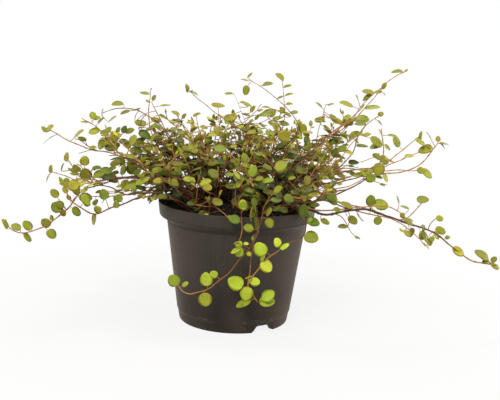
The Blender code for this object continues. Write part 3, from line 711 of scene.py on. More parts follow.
oldStems = {
    "old_stem_left": ((-34, -14), (-42, -16, 90), (-52, -14, 97), (-58, -6, 104)),
    "old_stem_front": ((16, -30), (24, -38, 92), (36, -40, 96), (46, -34, 101)),
    "old_stem_back": ((0, 22), (2, 30, 98), (-6, 40, 108), (-16, 44, 114)),
}


# leaves listed where the front sees them: the share of the stem at which each grows, the clock angle
# of its stalk (0 to the right, 90 up), the stalk's length, the blade's length, how far its face turns to
# the front (0 to 1), and for some the angle by which the blade turns away from its stalk
placedLeaves = {
    "front_trailer": (
        (0.22, 60, 3, 12, 0.5, -150), (0.3, 270, 0.5, 9, 0.4), (0.38, 170, 3.5, 7, 0.9),
        (0.41, 190, 3, 3.5, 0.7, 90), (0.47, 150, 2.5, 3.5, 0.7, 30), (0.49, 160, 5.5, 5, 1),
        (0.51, 150, 5.5, 7.5, 0.3, 60), (0.51, 310, 0.5, 3.5, 1), (0.55, 120, 0.5, 7, 1),
        (0.72, 140, 3.5, 5.5, 1), (0.81, 100, 2.5, 9.5, 1), (0.84, 310, 1.5, 10, 1, -30),
        (0.98, 40, 2.5, 5, 0.7), (0.99, 130, 1, 9, 1)),
    "front_short_trailer": (
        (0.84, 350, 1.5, 7, 1), (0.88, 180, 4, 11.5, 1, -30), (0.88, 260, 0.5, 10, 1),
        (0.97, 200, 3.5, 11, 0.3), (1, 10, 1.5, 11, 0.7), (1, 40, 4.5, 10, 0.8)),
    "front_side_trailer": (
        (0.41, 340, 0.5, 9.5, 0.7, 10), (0.42, 30, 1, 4, 1), (0.52, 350, 0.5, 10, 0.8),
        (0.73, 40, 0.5, 7, 0.5), (0.73, 110, 2.5, 6.5, 0.9), (0.81, 160, 5, 6, 0.5, 90),
        (0.85, 120, 3.5, 10, 1), (0.89, 110, 2, 9.5, 0.9, -150)),
    "front_middle_sprig": ((0.62, 30, 2, 6.5, 1, 60), (0.76, 160, 1.5, 8, 0.9)),
    "front_left_sprig": ((0.97, 20, 1, 4.5, 0.6, -60),),
    "left_runner": (
        (0.67, 120, 8, 5, 0.7), (0.68, 120, 3, 4, 0.6), (0.69, 320, 2, 7.5, 0.7),
        (0.71, 130, 11, 7, 0.8), (0.71, 140, 3, 6, 1), (0.71, 220, 1, 5.5, 1),
        (0.73, 140, 1.5, 8.5, 0.9), (0.78, 110, 0.5, 4, 0.6), (0.79, 260, 2.5, 7, 1, -120),
        (0.82, 320, 3.5, 7.5, 0.7), (0.87, 130, 1, 8, 0.6), (0.91, 320, 1.5, 7, 0.4),
        (0.92, 70, 3, 7, 0.7, 90), (0.96, 200, 3, 7.5, 0.3, -90)),
    "left_lower_runner": (
        (0.55, 130, 2.5, 6, 0.9), (0.6, 310, 1.5, 5, 1, 150), (0.64, 110, 7, 7.5, 1),
        (0.69, 140, 0.5, 5.5, 1), (0.72, 250, 0.5, 8, 0.6), (0.83, 50, 3.5, 4.5, 1, -60),
        (0.89, 40, 9, 8.5, 0.8, -90)),
    "left_fork": (
        (0.46, 130, 4, 8, 1), (0.5, 100, 2, 8.5, 0.8), (0.52, 250, 2, 8.5, 0.9), (0.56, 80, 3, 8, 0.7),
        (0.75, 110, 2.5, 9.5, 1), (0.83, 80, 6, 6.5, 0.9, 30), (0.84, 250, 4, 9, 0.7, 60),
        (0.88, 260, 1, 8, 0.9), (0.98, 230, 2, 6.5, 0.7, -150), (0.98, 240, 2.5, 7, 0.3)),
    "left_middle_shoot": (
        (0.82, 50, 6, 3.5, 1), (0.84, 90, 7, 7.5, 1), (0.87, 120, 0.5, 4, 0.9),
        (0.92, 200, 9.5, 6.5, 0.3, -120), (0.96, 180, 2.5, 7, 0.8, -90)),
    "left_upper_runner": (
        (0.77, 20, 0.5, 5.5, 0.4), (0.87, 40, 3.5, 10, 0.2), (0.94, 210, 4, 9, 0.1),
        (0.98, 210, 4, 5, 0.6, -90), (1, 250, 2, 7, 0.5, 150)),
    "left_high_shoot": (
        (0.62, 80, 9, 8, 0.8, 60), (0.7, 100, 8, 8.5, 0.7), (0.79, 320, 1.5, 9, 0.9),
        (0.8, 210, 2.5, 9, 0.5, 150), (0.8, 230, 0.5, 10, 0.7), (0.86, 190, 0.5, 9, 0.6),
        (0.9, 50, 3, 7, 0.4), (0.93, 70, 4, 6, 0.9, 30), (0.94, 50, 4, 5.5, 0.6, -30),
        (0.94, 170, 1.5, 6.5, 0.2)),
    "left_arching_shoot": (
        (0.82, 230, 2, 7.5, 0.3, -30), (0.87, 90, 3.5, 8.5, 0.4, 90), (1, 70, 1, 2.5, 0.6),
        (1, 310, 8, 7.5, 0.2, 90)),
    "left_upright_sprig": (
        (0.57, 160, 5, 7.5, 0.7), (0.6, 175, 11, 8.5, 0.8), (0.76, 170, 3, 8.5, 0.6),
        (0.92, 140, 0.5, 3, 0.6), (0.98, 170, 1, 7.5, 0.3), (1, 70, 0.5, 3, 0.3)),
    "left_twin_sprig": (
        (0.84, 170, 1, 7.5, 0.5), (0.89, 340, 0.5, 7.5, 0.2), (0.96, 10, 5, 8, 0.2),
        (1, 60, 1.5, 5, 0.7)),
    "left_back_sprig": (
        (0.79, 80, 2, 8.5, 0.6, 120), (0.95, 210, 7, 4.5, 0.6, -180), (0.96, 60, 2, 7, 0.4, 90)),
    "crown_left_sprig": (
        (0.61, 60, 8, 11, 0.6, 150), (0.69, 210, 5, 4.5, 0.3, -30), (0.96, 40, 0.5, 2, 0.6),
        (0.96, 190, 2, 6, 0.6, -90), (0.97, 340, 1.5, 6, 0.2)),
    "crown_middle_sprig": ((1, 180, 5, 10.5, 0.4, -180),),
    "crown_front_sprig": ((1, 210, 2.5, 6, 0.4, 180),),
    "crown_top_sprig": (
        (0.73, 160, 11.5, 4.5, 0.6, -90), (0.74, 20, 8, 5, 0.5, 30), (0.74, 340, 7.5, 4, 0.9, -90),
        (0.82, 350, 0.5, 5.5, 0.3), (0.88, 0, 7, 7, 0.3, 150), (0.99, 180, 1, 6, 0.3)),
    "crown_hooked_shoot": (
        (0.59, 350, 3, 6.5, 0.9, 90), (0.7, 20, 0.5, 4.5, 0.7), (0.92, 20, 1.5, 7.5, 0.3),
        (0.98, 200, 2, 5, 0.2, -30), (0.97, 230, 4.5, 7, 0.9, 20), (1, 50, 0.5, 4.5, 0.4)),
    "crown_right_sprig": (
        (0.6, 20, 3, 6, 0.5), (0.62, 190, 3, 7.5, 0.6), (0.66, 160, 2, 6.5, 0.5),
        (0.77, 140, 0.5, 5, 0.7), (0.77, 170, 12.5, 6.5, 0.2), (0.78, 190, 8, 12, 0.3),
        (0.82, 10, 1.5, 5, 0.4), (0.88, 20, 1, 6.5, 0.2), (0.88, 200, 0.5, 5, 0.3),
        (0.94, 20, 0.5, 6.5, 0.3), (0.99, 20, 1.5, 8, 0.6, 120)),
    "crown_leaning_sprig": (
        (0.93, 290, 3.5, 7.5, 0.5, -90), (0.93, 330, 13.5, 7.5, 0.6, -180), (0.96, 140, 2.5, 6, 0.3),
        (1, 10, 6.5, 5, 0.2, -180)),
    "right_high_runner": (
        (0.71, 10, 1, 11, 0.2), (0.83, 320, 3, 3.5, 0.2), (0.84, 270, 3, 5, 0.5, -90),
        (0.84, 340, 1.5, 5.5, 0.6, 90), (0.98, 40, 0.5, 3.5, 0.3), (0.98, 180, 0.5, 9, 0.3)),
    "right_high_twin": (
        (0.75, 130, 1.5, 8, 0.8, 90), (0.77, 330, 2.5, 9, 0.7, 30), (0.82, 160, 5.5, 11, 0.3),
        (0.83, 110, 7, 4, 0.4), (0.93, 210, 1.5, 8, 0.4), (0.94, 170, 0.5, 9.5, 0.5)),
    "right_back_sprig": (
        (0.75, 0, 1.5, 9, 0.2), (0.82, 350, 1.5, 8, 0.1), (0.84, 210, 0.5, 10, 0.4),
        (0.9, 180, 0.5, 9.5, 0.3), (0.96, 320, 3, 5.5, 0.3), (0.98, 40, 1, 5, 0.9)),
    "right_cluster_shoot": (
        (0.77, 310, 8.5, 6.5, 0.6), (0.8, 260, 0.5, 8.5, 1), (0.82, 150, 1, 6.5, 0.6),
        (0.9, 150, 1, 10, 0.7), (0.91, 200, 3, 6.5, 0.6), (0.91, 330, 1, 5.5, 0.6),
        (0.96, 0, 4, 7, 0.2), (0.96, 120, 1, 4, 0.3)),
    "right_middle_shoot": (
        (0.75, 130, 1, 3.5, 0.5), (0.86, 130, 3.5, 8.5, 0.8), (0.97, 320, 2.5, 7.5, 0.2, 120)),
    "right_long_shoot": (
        (0.39, 80, 3, 9.5, 0.8, -120), (0.61, 120, 2.5, 9, 0.3, 60), (0.62, 140, 1, 7, 0.8),
        (0.96, 150, 6.5, 8, 0.4), (0.97, 190, 0.5, 10, 0.7), (0.98, 120, 5.5, 6, 0.2),
        (1, 0, 1.5, 6.5, 0.2), (1, 90, 1, 4, 1), (1, 350, 2, 5, 0.3, -30)),
    "right_back_runner": ((0.95, 90, 2, 6.5, 1, -120), (0.97, 330, 0.5, 11, 0.7)),
    "right_runner": (
        (0.29, 260, 4.5, 6.5, 0.6, 90), (0.36, 160, 1.5, 5, 0.7), (0.37, 300, 5, 7, 0.9, 30),
        (0.38, 270, 11, 6.5, 0.3, -90), (0.4, 150, 1.5, 9, 0.4), (0.46, 60, 4.5, 10, 0.7, -60),
        (0.46, 90, 2.5, 8, 1), (0.49, 270, 2.5, 6, 1), (0.58, 60, 2.5, 8, 0.4, -90),
        (0.59, 80, 3.5, 4, 1, 60), (0.62, 280, 2.5, 7, 0.8), (0.65, 300, 4, 6.5, 0.9),
        (0.66, 50, 2.5, 4.5, 0.7, -120), (0.67, 270, 3, 8, 0.5, 30), (0.69, 60, 10, 5.5, 0.9, -60),
        (0.71, 30, 2, 7.5, 0.7, -30), (0.71, 240, 6, 5.5, 0.9, 60), (0.71, 320, 1, 6, 0.7),
        (0.72, 240, 6.5, 4, 1, 180), (0.76, 30, 1.5, 3.5, 0.7), (0.81, 250, 1.5, 9.5, 0.7, 90),
        (0.97, 50, 2, 5, 0.7), (0.97, 90, 2, 6, 0.3, 90), (0.97, 110, 3, 11.5, 0.5, 30),
        (0.97, 340, 0.5, 7.5, 0.6)),
    "right_front_shoot": (
        (0.96, 80, 5, 6, 0.3, 30), (1, 40, 5.5, 6, 0.3, 120), (1, 290, 15, 6, 0.8, -150)),
    "right_low_shoot": ((0.85, 350, 1.5, 4.5, 0.2), (0.99, 150, 4, 9, 0.6, -140)),
    "right_drooping_shoot": ((0.83, 240, 4, 4, 0.5, -90), (0.97, 320, 1, 6.5, 0.2)),
}

# more listed leaves, in and before the tangle: the middle of the blade (x, y, z), its clock angle, its
# length, how far it faces the front and its tint; each hangs on a thin stalk from the nearest shoot
tangleLeaves = (
    (10, -52, 124, 70, 8.5, 1, 0.76), (30, -50, 128, 30, 9, 0.9, 0.74), (4, -64, 102, 100, 7, 1, 0.9),
    (1, -56, 116, 60, 8.5, 0.5, 0.8), (4, -42, 132, 100, 6.5, 0.9, 0.7), (-6, -46, 120, 0, 7, 0.4, 0.7),
    (21, -54, 118, 10, 8.5, 0.4, 0.75), (28, -60, 113, 40, 6.5, 0.8, 0.7),
    (36, -62, 107, -20, 7.5, 0.9, 0.45), (27, -63, 106, 0, 7.5, 0.5, 0.4),
    (7, -58, 109, 10, 7.5, 0.6, 0.35), (12, -64, 104, 100, 6.5, 0.8, 0.45),
    (23, -67, 90, -60, 7, 1, 0.7), (22, -66, 98, 235, 7, 0.5, 0.6), (28, -64, 100, 30, 5.5, 0.7, 0.3),
    (47, -58, 98, 80, 10, 0.8, 0.35), (-34, -22, 136, 20, 7.5, 0.9, 0.75),
    (-14, -22, 135, 0, 9, 0.75, 0.6), (-23, -12, 140, 45, 6.5, 0.7, 0.55),
    (-23, -48, 114, 25, 8.5, 0.5, 0.8), (-35, -44, 115, 0, 8.5, 0.45, 0.8),
    (-43, -40, 120, -40, 6.5, 0.8, 0.7), (-51, -36, 121, 10, 6.5, 0.6, 0.65),
    (-59, -32, 119, 10, 8, 0.5, 0.7), (-80, 0, 136, 60, 8.5, 0.75, 0.75),
    (-54, -46, 102, 10, 7, 0.6, 0.45), (-71, -22, 109, 30, 10.5, 0.5, 0.75),
    (-79, -26, 105, 20, 9.5, 0.5, 0.65), (-77, -12, 105, 10, 9.5, 0.5, 0.25),
    (-33, -52, 99, 0, 5.5, 0.6, 0.25), (-17, -6, 146, -60, 8, 0.8, 0.75),
    (-8, 4, 155, 10, 10, 0.7, 0.6), (9, 0, 163, 60, 6, 0.7, 0.7), (5, 2, 166, -20, 7.5, 0.35, 0.75),
    (19, 10, 158, 0, 9, 0.45, 0.65), (25, 12, 159, 60, 7, 0.7, 0.65), (32, 16, 161, 60, 5.5, 0.8, 0.7),
    (8, 6, 153, 60, 4.5, 0.8, 0.6), (41, 20, 160, 20, 5.5, 0.5, 0.35), (29, 36, 153, 20, 8, 0.5, 0.6),
    (37, 42, 156, 150, 7.5, 0.4, 0.65), (23, 30, 157, 60, 7, 0.5, 0.55), (35, 38, 149, 0, 8, 0.6, 0.45),
    (25, 30, 149, -30, 7.5, 0.5, 0.5), (-88, 42, 138, 20, 8, 0.7, 0.6), (-44, 0, 143, 0, 7, 0.6, 0.5),
    (-50, 2, 145, 0, 6, 0.5, 0.55), (-27, -4, 148, -10, 6, 0.5, 0.65), (-72, 6, 139, -20, 9, 0.6, 0.3),
    (-45, -6, 138, 0, 7.5, 0.7, 0.15), (-39, -30, 130, 30, 6, 0.8, 0.4),
    (-1, -44, 128, 95, 6.5, 0.7, 0.6), (21, -46, 126, -20, 6.5, 0.6, 0.5),
    (38, -52, 120, 20, 5.5, 0.5, 0.6), (67, -48, 106, -30, 8, 0.9, 0.45),
    (49, -52, 112, 10, 8.5, 0.6, 0.25), (-77, 14, 148, 0, 7.5, 0.6, 0.5),
    (-75, -16, 114, 30, 6.5, 0.8, 0.25), (45, -20, 152, -70, 6.5, 0.9, 0.75),
    (73, 22, 156, 0, 7, 0.5, 0.4), (63, 22, 154, 0, 7, 0.4, 0.65), (68, -32, 120, 90, 6.5, 0.8, 0.6),
    (-106, 4, 108, 25, 10.5, 0.5, 0.65), (-101, 8, 106, 0, 9, 0.75, 0.35),
    (-97, 12, 104, -20, 9.5, 0.7, 0.2), (-109, 10, 112, 10, 7, 0.4, 0.5),
    (-89, 0, 120, -40, 7.5, 0.7, 0.5), (-97, 10, 112, 20, 6, 0.6, 0.5),
    (-81, -6, 124, -10, 7.5, 0.4, 0.7), (-112, -24, 95, 0, 9.5, 0.7, 0.35),
    (-79, 36, 145, -15, 8, 0.6, 0.6), (-105, 44, 138, 45, 5.5, 0.8, 0.6),
    (-97, 42, 138, 60, 5.5, 0.8, 0.55), (-92, 40, 139, 70, 6.5, 0.8, 0.35),
    (-97, 38, 133, 60, 5.5, 0.5, 0.6), (-92, 36, 130, 0, 7, 0.6, 0.25),
    (-81, 30, 124, 0, 10.5, 0.5, 0.4), (-72, 30, 119, -10, 9.5, 0.5, 0.45),
    (-75, 34, 136, -20, 10.5, 0.6, 0.3), (-71, 34, 141, 20, 7, 0.4, 0.5),
    (-66, 36, 148, -10, 6.5, 0.3, 0.45), (-68, 34, 133, 0, 7, 0.6, 0.15),
    (-61, 30, 130, 0, 7, 0.5, 0.35), (-109, 40, 127, 10, 8, 0.6, 0.65),
    (-103, 40, 124, -10, 9, 0.7, 0.5), (-107, 42, 136, 10, 9, 0.5, 0.55), (18, 20, 149, 0, 6, 0.3, 0.6),
    (34, 24, 144, 0, 8, 0.3, 0.15), (24, 20, 138, 0, 9.5, 0.4, 0.15), (44, 24, 131, 0, 8.5, 0.4, 0.1),
    (24, 16, 143, 10, 7.5, 0.5, 0.65), (8, 14, 152, 60, 4, 0.7, 0.4), (4, 18, 145, 0, 8.5, 0.3, 0.15),
    (62, 30, 154, 15, 8, 0.4, 0.6), (74, 40, 155, -25, 8, 0.6, 0.35),
    (69, 30, 147, -30, 8.5, 0.5, 0.25), (52, 10, 139, -60, 8.5, 0.7, 0.35),
    (53, 2, 136, -80, 7, 0.8, 0.7), (74, 20, 138, 10, 10, 0.4, 0.35), (42, 6, 128, 0, 10.5, 0.4, 0.1),
    (11, 0, 129, -10, 10, 0.5, 0.1), (20, -4, 131, 30, 6, 0.8, 0.4), (32, 4, 136, 30, 7, 0.6, 0.4),
    (0, 4, 137, 10, 7, 0.4, 0.4), (17, 10, 135, 20, 7, 0.5, 0.5), (77, -10, 137, 30, 7, 0.8, 0.55),
    (60, 0, 133, -70, 7, 0.8, 0.75),
)


blade = {
    "rows": (0.0, 0.04, 0.17, 0.38, 0.61, 0.82, 0.955, 1.0),
    "ring": ((-1, 0), (-0.5, 1), (0, 1), (0.5, 1), (1, 0), (0.5, -1), (0, -1), (-0.5, -1)),  # v, face
    "thickness": 0.24, "thickestFrom": 0.25, "widest": 0.9, "point": 0.01, "least": 0.045,
    "narrowing": (0.06, 0.2),  # how much narrower the tip's half is, and how much more where young
    "aspect": (0.86, 1.04), "youngAspect": 0.25, "cup": (0, 0.22), "arch": (-0.03, 0.2),
    "wave": (0, 0.6), "waveDepth": 0.035, "waves": 7, "rib": 0.1,
    "warm": (0.12, 0.86),  # how red a leaf may be
    "stalkRadius": (0.27, 0.2), "stalkRows": (4, 9), "longStalk": 6, "stalkBow": 0.28,
    "stalkYouth": (0.62, 0.25),  # of a stalk's bark, and how much more where its leaf is young
}


# one leaf's numbers; the axis runs up the blade and the normal out of its upper face
def newLeaf(root, base, axis, normal, length, rng, youth, tint, aspect=None, warm=None):
    axis = unit(axis)
    return {
        "warm": rng.uniform(*blade["warm"]) if warm is None else warm,
        "root": root, "base": base, "axis": axis, "normal": square(normal, axis), "length": length,
        "aspect": aspect or rng.uniform(*blade["aspect"]) - blade["youngAspect"] * youth,
        "cup": rng.uniform(*blade["cup"]), "arch": rng.uniform(*blade["arch"]),
        "wave": rng.uniform(*blade["wave"]), "phase": rng.uniform(0, 6.28),
        "youth": youth, "tint": tint,
    }


# Blades are flat tubes: t runs from the base to the tip and v from edge to edge. The half width is that of
# an egg, sqrt(4 u (1 - u)) with u = t ^ widest; edges lift by cup |v|^1.6, the tip sinks by arch t^2, the
# rib is a groove along the middle and a wave, sin(waves t), runs along both edges. Stalks go to the stems'
# stock.
def addLeaves(stems, blades, leaves):
    get = {label: np.array([leaf[label] for leaf in leaves]) for label in leaves[0]}
    length, aspect, young, tint, warm, cup, arch, wave, phase = (get[label][:, None, None] for label in (
        "length", "aspect", "youth", "tint", "warm", "cup", "arch", "wave", "phase"))
    base, axis, normal = (get[label][:, None, None] for label in ("base", "axis", "normal"))
    t = np.array(blade["rows"])[None, :, None]
    v, face = np.array(blade["ring"]).T[:, None, None, :]
    half = length * aspect / 2
    u = t ** blade["widest"]
    narrowing, whereYoung = blade["narrowing"]
    egg = np.maximum(np.sqrt(np.clip(4 * u * (1 - u), 0, 1)), blade["least"])
    outline = egg * (1 - (narrowing + whereYoung * young) * t * t)
    along = t * (1 + blade["point"] * (t > 0.97)) * length
    lift = cup * np.abs(v) ** 1.6 * outline * half
    lift = lift - arch * length * np.maximum(t - 0.1, 0) ** 2
    lift = lift + blade["waveDepth"] * wave * length * v * v * np.sin(blade["waves"] * t + phase)
    rib = np.where(v == 0, -blade["rib"] * (1 - 0.6 * t), 0)
    lift = lift + face * blade["thickness"] / 2 * np.minimum(outline / blade["thickestFrom"], 1) + rib
    side = np.cross(normal, axis)
    points = (base + axis * (along * np.ones_like(v))[..., None]
              + side * (v * outline * half)[..., None] + normal * lift[..., None])
    many, rows, sides = points.shape[:3]
    quads, ends = ringFaces(rows, sides)
    flat = np.ones((many, rows, sides))
    uv = np.stack([(v + 1) / 2 * flat, t * flat], -1)
    values = {"youth": young * flat, "tint": tint * flat, "warm": warm * flat, "under": (face < 0) * flat}
    blades.addMany(points.reshape(many, -1, 3) * mm, quads[:, ::-1], [end[::-1] for end in ends],
                   values, uv.reshape(many, -1, 2))
    long = np.linalg.norm(get["base"] - get["root"], axis=-1) > blade["longStalk"]
    for rows, chosen in zip(blade["stalkRows"], (~long, long)):
        if chosen.any():
            addStalks(stems, {label: numbers[chosen] for label, numbers in get.items()}, rows)


# each stalk is a square tube on an arc, (1-s)^2 a + 2 s (1-s) b + s^2 c, that ends along its blade; the
# longer ones are stouter
def addStalks(stems, get, rows):
    s = np.linspace(0, 1, rows)[None, :, None]
    start, end = get["root"], get["base"] + get["axis"] * 0.15
    reach = np.linalg.norm(end - start, axis=-1, keepdims=True)
    aside = get["axis"] - (get["axis"] * unit(end - start)).sum(-1, keepdims=True) * unit(end - start)
    middle = (start + end) / 2 - blade["stalkBow"] * reach * aside
    arc = (1 - s) ** 2 * start[:, None] + 2 * s * (1 - s) * middle[:, None] + s ** 2 * end[:, None]
    along = unit(np.gradient(arc, axis=1))
    side = square(get["normal"][:, None] * np.ones_like(s), along)
    other = np.cross(along, side)
    turn = np.arange(4) * math.pi / 2
    first, last = blade["stalkRadius"]
    stout = 1 + 0.5 * smoothStep(5, 12, reach)[:, :, None, None]
    thick = (first + (last - first) * s)[..., None] * stout
    ring = side[:, :, None] * np.cos(turn)[:, None] + other[:, :, None] * np.sin(turn)[:, None]
    points = (arc[:, :, None] + thick * ring).reshape(len(start), -1, 3)
    quads, ends = ringFaces(rows, 4)
    least, more = blade["stalkYouth"]
    youth = least + more * get["youth"][:, None] * np.ones((1, rows * 4))
    stems.addMany(points * mm, quads, ends, {"youth": youth})


stem = {
    "step": 1.3, "sides": 6, "socket": 5.5, "clear": 1.5, "inSoil": 4,  # points from which nothing hangs
    "zigzag": 0.35, "zigzagStep": 10, "zigzagFrom": (12, 30),
    "knuckle": 0.4, "knuckleWidth": 0.8, "darkerInTangle": 0.5,
}


# a cubic through the points: chord length is its parameter, and each slope comes from both neighbours
def curveThrough(points, step):
    points = np.asarray(points, float)
    chords = np.linalg.norm(np.diff(points, axis=0), axis=1)
    knots = np.concatenate([[0], np.cumsum(chords)])
    slopes = np.gradient(points, knots, axis=0)
    at = np.linspace(0, knots[-1], max(3, round(knots[-1] / step)) + 1)
    span = np.clip(np.searchsorted(knots, at, side="right") - 1, 0, len(chords) - 1)
    width = chords[span][:, None]
    t = ((at - knots[span]) / chords[span])[:, None]
    return ((2 * t**3 - 3 * t**2 + 1) * points[span] + (t**3 - 2 * t**2 + t) * width * slopes[span]
            + (3 * t**2 - 2 * t**3) * points[span + 1] + (t**3 - t**2) * width * slopes[span + 1])


# a shoot's own stem: upright in the soil's socket, then along its route
def stemCurve(route):
    x, y = route[0]
    ground = soilHeight(math.hypot(x, y))
    above = curveThrough([(x, y, ground + stem["clear"]), *route[1:]], stem["step"])
    return np.vstack([[(x, y, ground - stem["socket"])], above])


# the length of the curve up to each of its points
def lengthsAlong(curve):
    return np.concatenate([[0], np.cumsum(np.linalg.norm(np.diff(curve, axis=0), axis=1))])


# the curve's own way and two sides square to it that don't spin: a fixed guess, turned back by the sum of
# its twists
def steadyFrames(curve):
    along = unit(np.gradient(curve, lengthsAlong(curve), axis=0))
    side = square(np.array([[0.31, 0.52, 0.8]]) * np.ones((len(curve), 1)), along)
    other = np.cross(along, side)
    moved = square(side[:-1], along[1:])
    twist = np.arctan2((moved * other[1:]).sum(-1), (moved * side[1:]).sum(-1))
    turn = np.concatenate([[0], np.cumsum(twist)])[:, None]
    steady = side * np.cos(turn) + other * np.sin(turn)
    return along, steady, np.cross(along, steady)


# a round tube of these radii, a little thicker at its nodes and with darker bark deep in the tangle: partly
# older bark, partly painted shade
def addStem(stems, curve, radii, youth, nodes=()):
    along, side, other = steadyFrames(curve)
    # deep in the tangle the bark is darker, partly older and partly painted shade
    youth = youth * (1 - stem["darkerInTangle"] * depthOf(curve))
    reach = lengthsAlong(curve)
    bumps = (np.exp(-((reach - node) / stem["knuckleWidth"]) ** 2) for node in nodes)
    swell = sum(bumps, np.zeros(len(curve)))
    radii = radii * (1 + stem["knuckle"] * np.minimum(swell, 1))
    turn = np.arange(stem["sides"]) * 2 * math.pi / stem["sides"]
    ring = side[:, None] * np.cos(turn)[:, None] + other[:, None] * np.sin(turn)[:, None]
    points = curve[:, None] + radii[:, None, None] * ring
    quads, ends = ringFaces(len(curve), stem["sides"])
    stems.add(points.reshape(-1, 3) * mm, quads, ends, {"youth": np.repeat(youth, stem["sides"])})


# the radius of the pot's outside at a height: the rim's above the neck and the wall's taper below it
def wallRadius(height):
    p = pot
    slope = (p["neckRadius"] - p["heelRadius"]) / (neckHeight() - p["heelHeight"])
    tapering = p["heelRadius"] + slope * (height - p["heelHeight"])
    return np.where(height > neckHeight(), p["rimRadius"], tapering)


# points in the pot's wall or soil are moved to just outside them, and those in the rim to just above it
def keepOffPot(points):
    spare = growing["spare"]
    x, y, z = points.T
    radius = np.maximum(np.hypot(x, y), 1e-6)
    low = z < pot["height"] + spare
    outside = radius > soil["radius"] - 1
    wanted = np.where(low & outside, np.maximum(radius, wallRadius(z) + spare), radius)
    onRim = low & outside & (z > pot["height"] - growing["overRim"])
    wanted = np.where(onRim, radius, wanted)
    z = np.where(onRim & (radius < pot["rimRadius"] + spare), pot["height"] + spare, z)
    z = np.where(low & ~outside, np.maximum(z, soilHeight(radius) + spare), z)
    return np.stack([x * wanted / radius, y * wanted / radius, z], -1)


# whether a point is in the pot or nearer to it than spare
def hitsPot(point, spare):
    radius, z = math.hypot(point[0], point[1]), point[2]
    if z > pot["height"] + spare:
        return False
    if radius < soil["radius"] - 1:
        return z < soilHeight(radius) + spare
    return radius < float(wallRadius(z)) + spare


growing = {
    "spacing": (9.0, 13.0),  # between the leaves on a shoot's own stem
    "leafLength": (7.0, 10.2), "stalk": (2.6, 5.0), "turn": 137.5,
    "open": 0.5,  # how far a blade's face turns outwards from straight up
    "tipLength": (4.4, 6.8), "tipTurn": 2.2,
    "sideSize": (0.85, 1.05), "sideYouth": (0.3, 0.9),  # of the leaves and tips on twigs and branches
    "spare": 1.2, "overRim": 5,  # how far side growth keeps off the pot, and from how deep it is lifted
    "bladeSpare": 2.0, "stalkSpare": 0.6,  # how far a blade's middle and its stalk's end keep off the pot
    "crowding": 0.4, "lastNode": 2.5,  # how much closer nodes get towards a tip, and how far off it they end
    "rimShade": (72, 84),  # the heights over which the trailers' leaves darken up to the rim
}

# twigs and branches: their radius at the root (a branch's as a share of its shoot's) and at the tip, the
# youth of their bark, their bare length, the spacing of their leaves and how far along a shoot, as a share,
# the first of those count as being
twig = {
    "radius": 0.45, "tip": 0.27, "youth": (0.4, 0.85), "bare": 4.0, "spacing": (7.5, 11.0), "share": 0.35,
    "step": 1.8, "roots": (5.5, 8.5), "top": 150, "elbow": 0.45,
}
branch = {
    "radius": 0.72, "tip": 0.28, "youth": (0.25, 0.8), "bare": 9, "spacing": (9.0, 13.0), "share": 0.3,
    "step": 2.0, "length": (35, 75), "shortest": 15, "drift": (14, 30), "stray": 3,
    "start": 8, "startShare": 0.4, "startWithin": 110,  # a branch leaves low down on its shoot
    "ceiling": 145, "droop": 0.6,  # the share of its height above the ceiling that a branch loses
}

# how a listed leaf may differ from its row: how far its stalk and its blade lean back, its youth at the tip,
# its tint and warmth, its width by its length and how much less where young, how much longer it is made,
# and how much darker it gets up near the rim
standing = {
    "stalkLean": (-0.5, 0.5), "lean": (-0.35, 0.35), "youth": 1, "tint": (0.5, 0.74), "warm": (0.25, 0.62),
    "aspect": (0.86, 1.04), "youngAspect": 0.25, "longer": 1.04, "shade": 0,
}
hanging = {
    "stalkLean": (-0.5, 0.1), "lean": (-0.25, 0.05), "youth": 0.3, "tint": (0.7, 1.0), "warm": (0.03, 0.42),
    "aspect": (0.9, 1.06), "youngAspect": 0, "longer": 1, "shade": 0.28,
}

# how each group of shoots is furnished: its stems' radius at both ends, its bare length, how many branches
# run beside the stem, the chance of a twig at a node, the twig's length and rise, and its leaves' tint
habits = {
    "left": {"radius": (0.78, 0.3), "bare": 24, "branches": 5, "twigs": 0.6, "length": (14, 32),
             "rise": 0.1, "tint": (0.38, 0.84), "placed": standing},
    "right": {"radius": (0.8, 0.34), "bare": 24, "branches": 4, "twigs": 0.4, "length": (14, 30),
              "rise": 0.15, "tint": (0.36, 0.8), "placed": standing},
    "crown": {"radius": (0.56, 0.22), "bare": 14, "branches": 6, "twigs": 0.62, "length": (14, 28),
              "rise": -0.1, "tint": (0.36, 0.78), "placed": standing},
    "front": {"radius": (0.62, 0.36), "bare": 12, "branches": 0, "twigs": 0.3, "length": (8, 16),
              "rise": 0.1, "tint": (0.7, 1.0), "placed": hanging},
    "back": {"radius": (0.75, 0.3), "bare": 20, "branches": 2, "twigs": 0.65, "length": (18, 38),
             "rise": 0.05, "tint": (0.25, 0.74), "placed": standing},
}

tangle = {
    "reach": (85, 50), "top": (138, 105), "front": (-66, -42),  # where it begins and where it is deep
    # deep in the tangle leaves take these darker tints, partly older leaves and partly painted shade; far
    # out they get a little paler, partly painted light
    "tint": (-0.05, 0.45), "farOut": (75, 120), "paler": 0.08,
    # the leaves that are listed there: how young, low down and how much more on top, and from where to
    # where; their warmth; and how much darker they are than their rows say
    "hungYouth": (0.1, 0.75), "hungTop": (140, 152), "hungWarm": (0, 0.45), "hungShade": 0.06,
}


# 0 outside the tangle and 1 deep in it
def depthOf(points):
    x, y, z = np.asarray(points).T
    inwards = smoothStep(*tangle["reach"], np.hypot(x, y))
    return inwards * smoothStep(*tangle["top"], z) * smoothStep(*tangle["front"], y)


# a leaf's tint, which is darker deep in the tangle, partly for older leaves and partly as painted shade, and
# a little paler far out, partly as painted light
def tintAt(point, habit, rng):
    deep = float(depthOf(point))
    paler = tangle["paler"] * float(smoothStep(*tangle["farOut"], math.hypot(point[0], point[1])))
    return (1 - deep) * rng.uniform(*habit["tint"]) + deep * rng.uniform(*tangle["tint"]) + paler


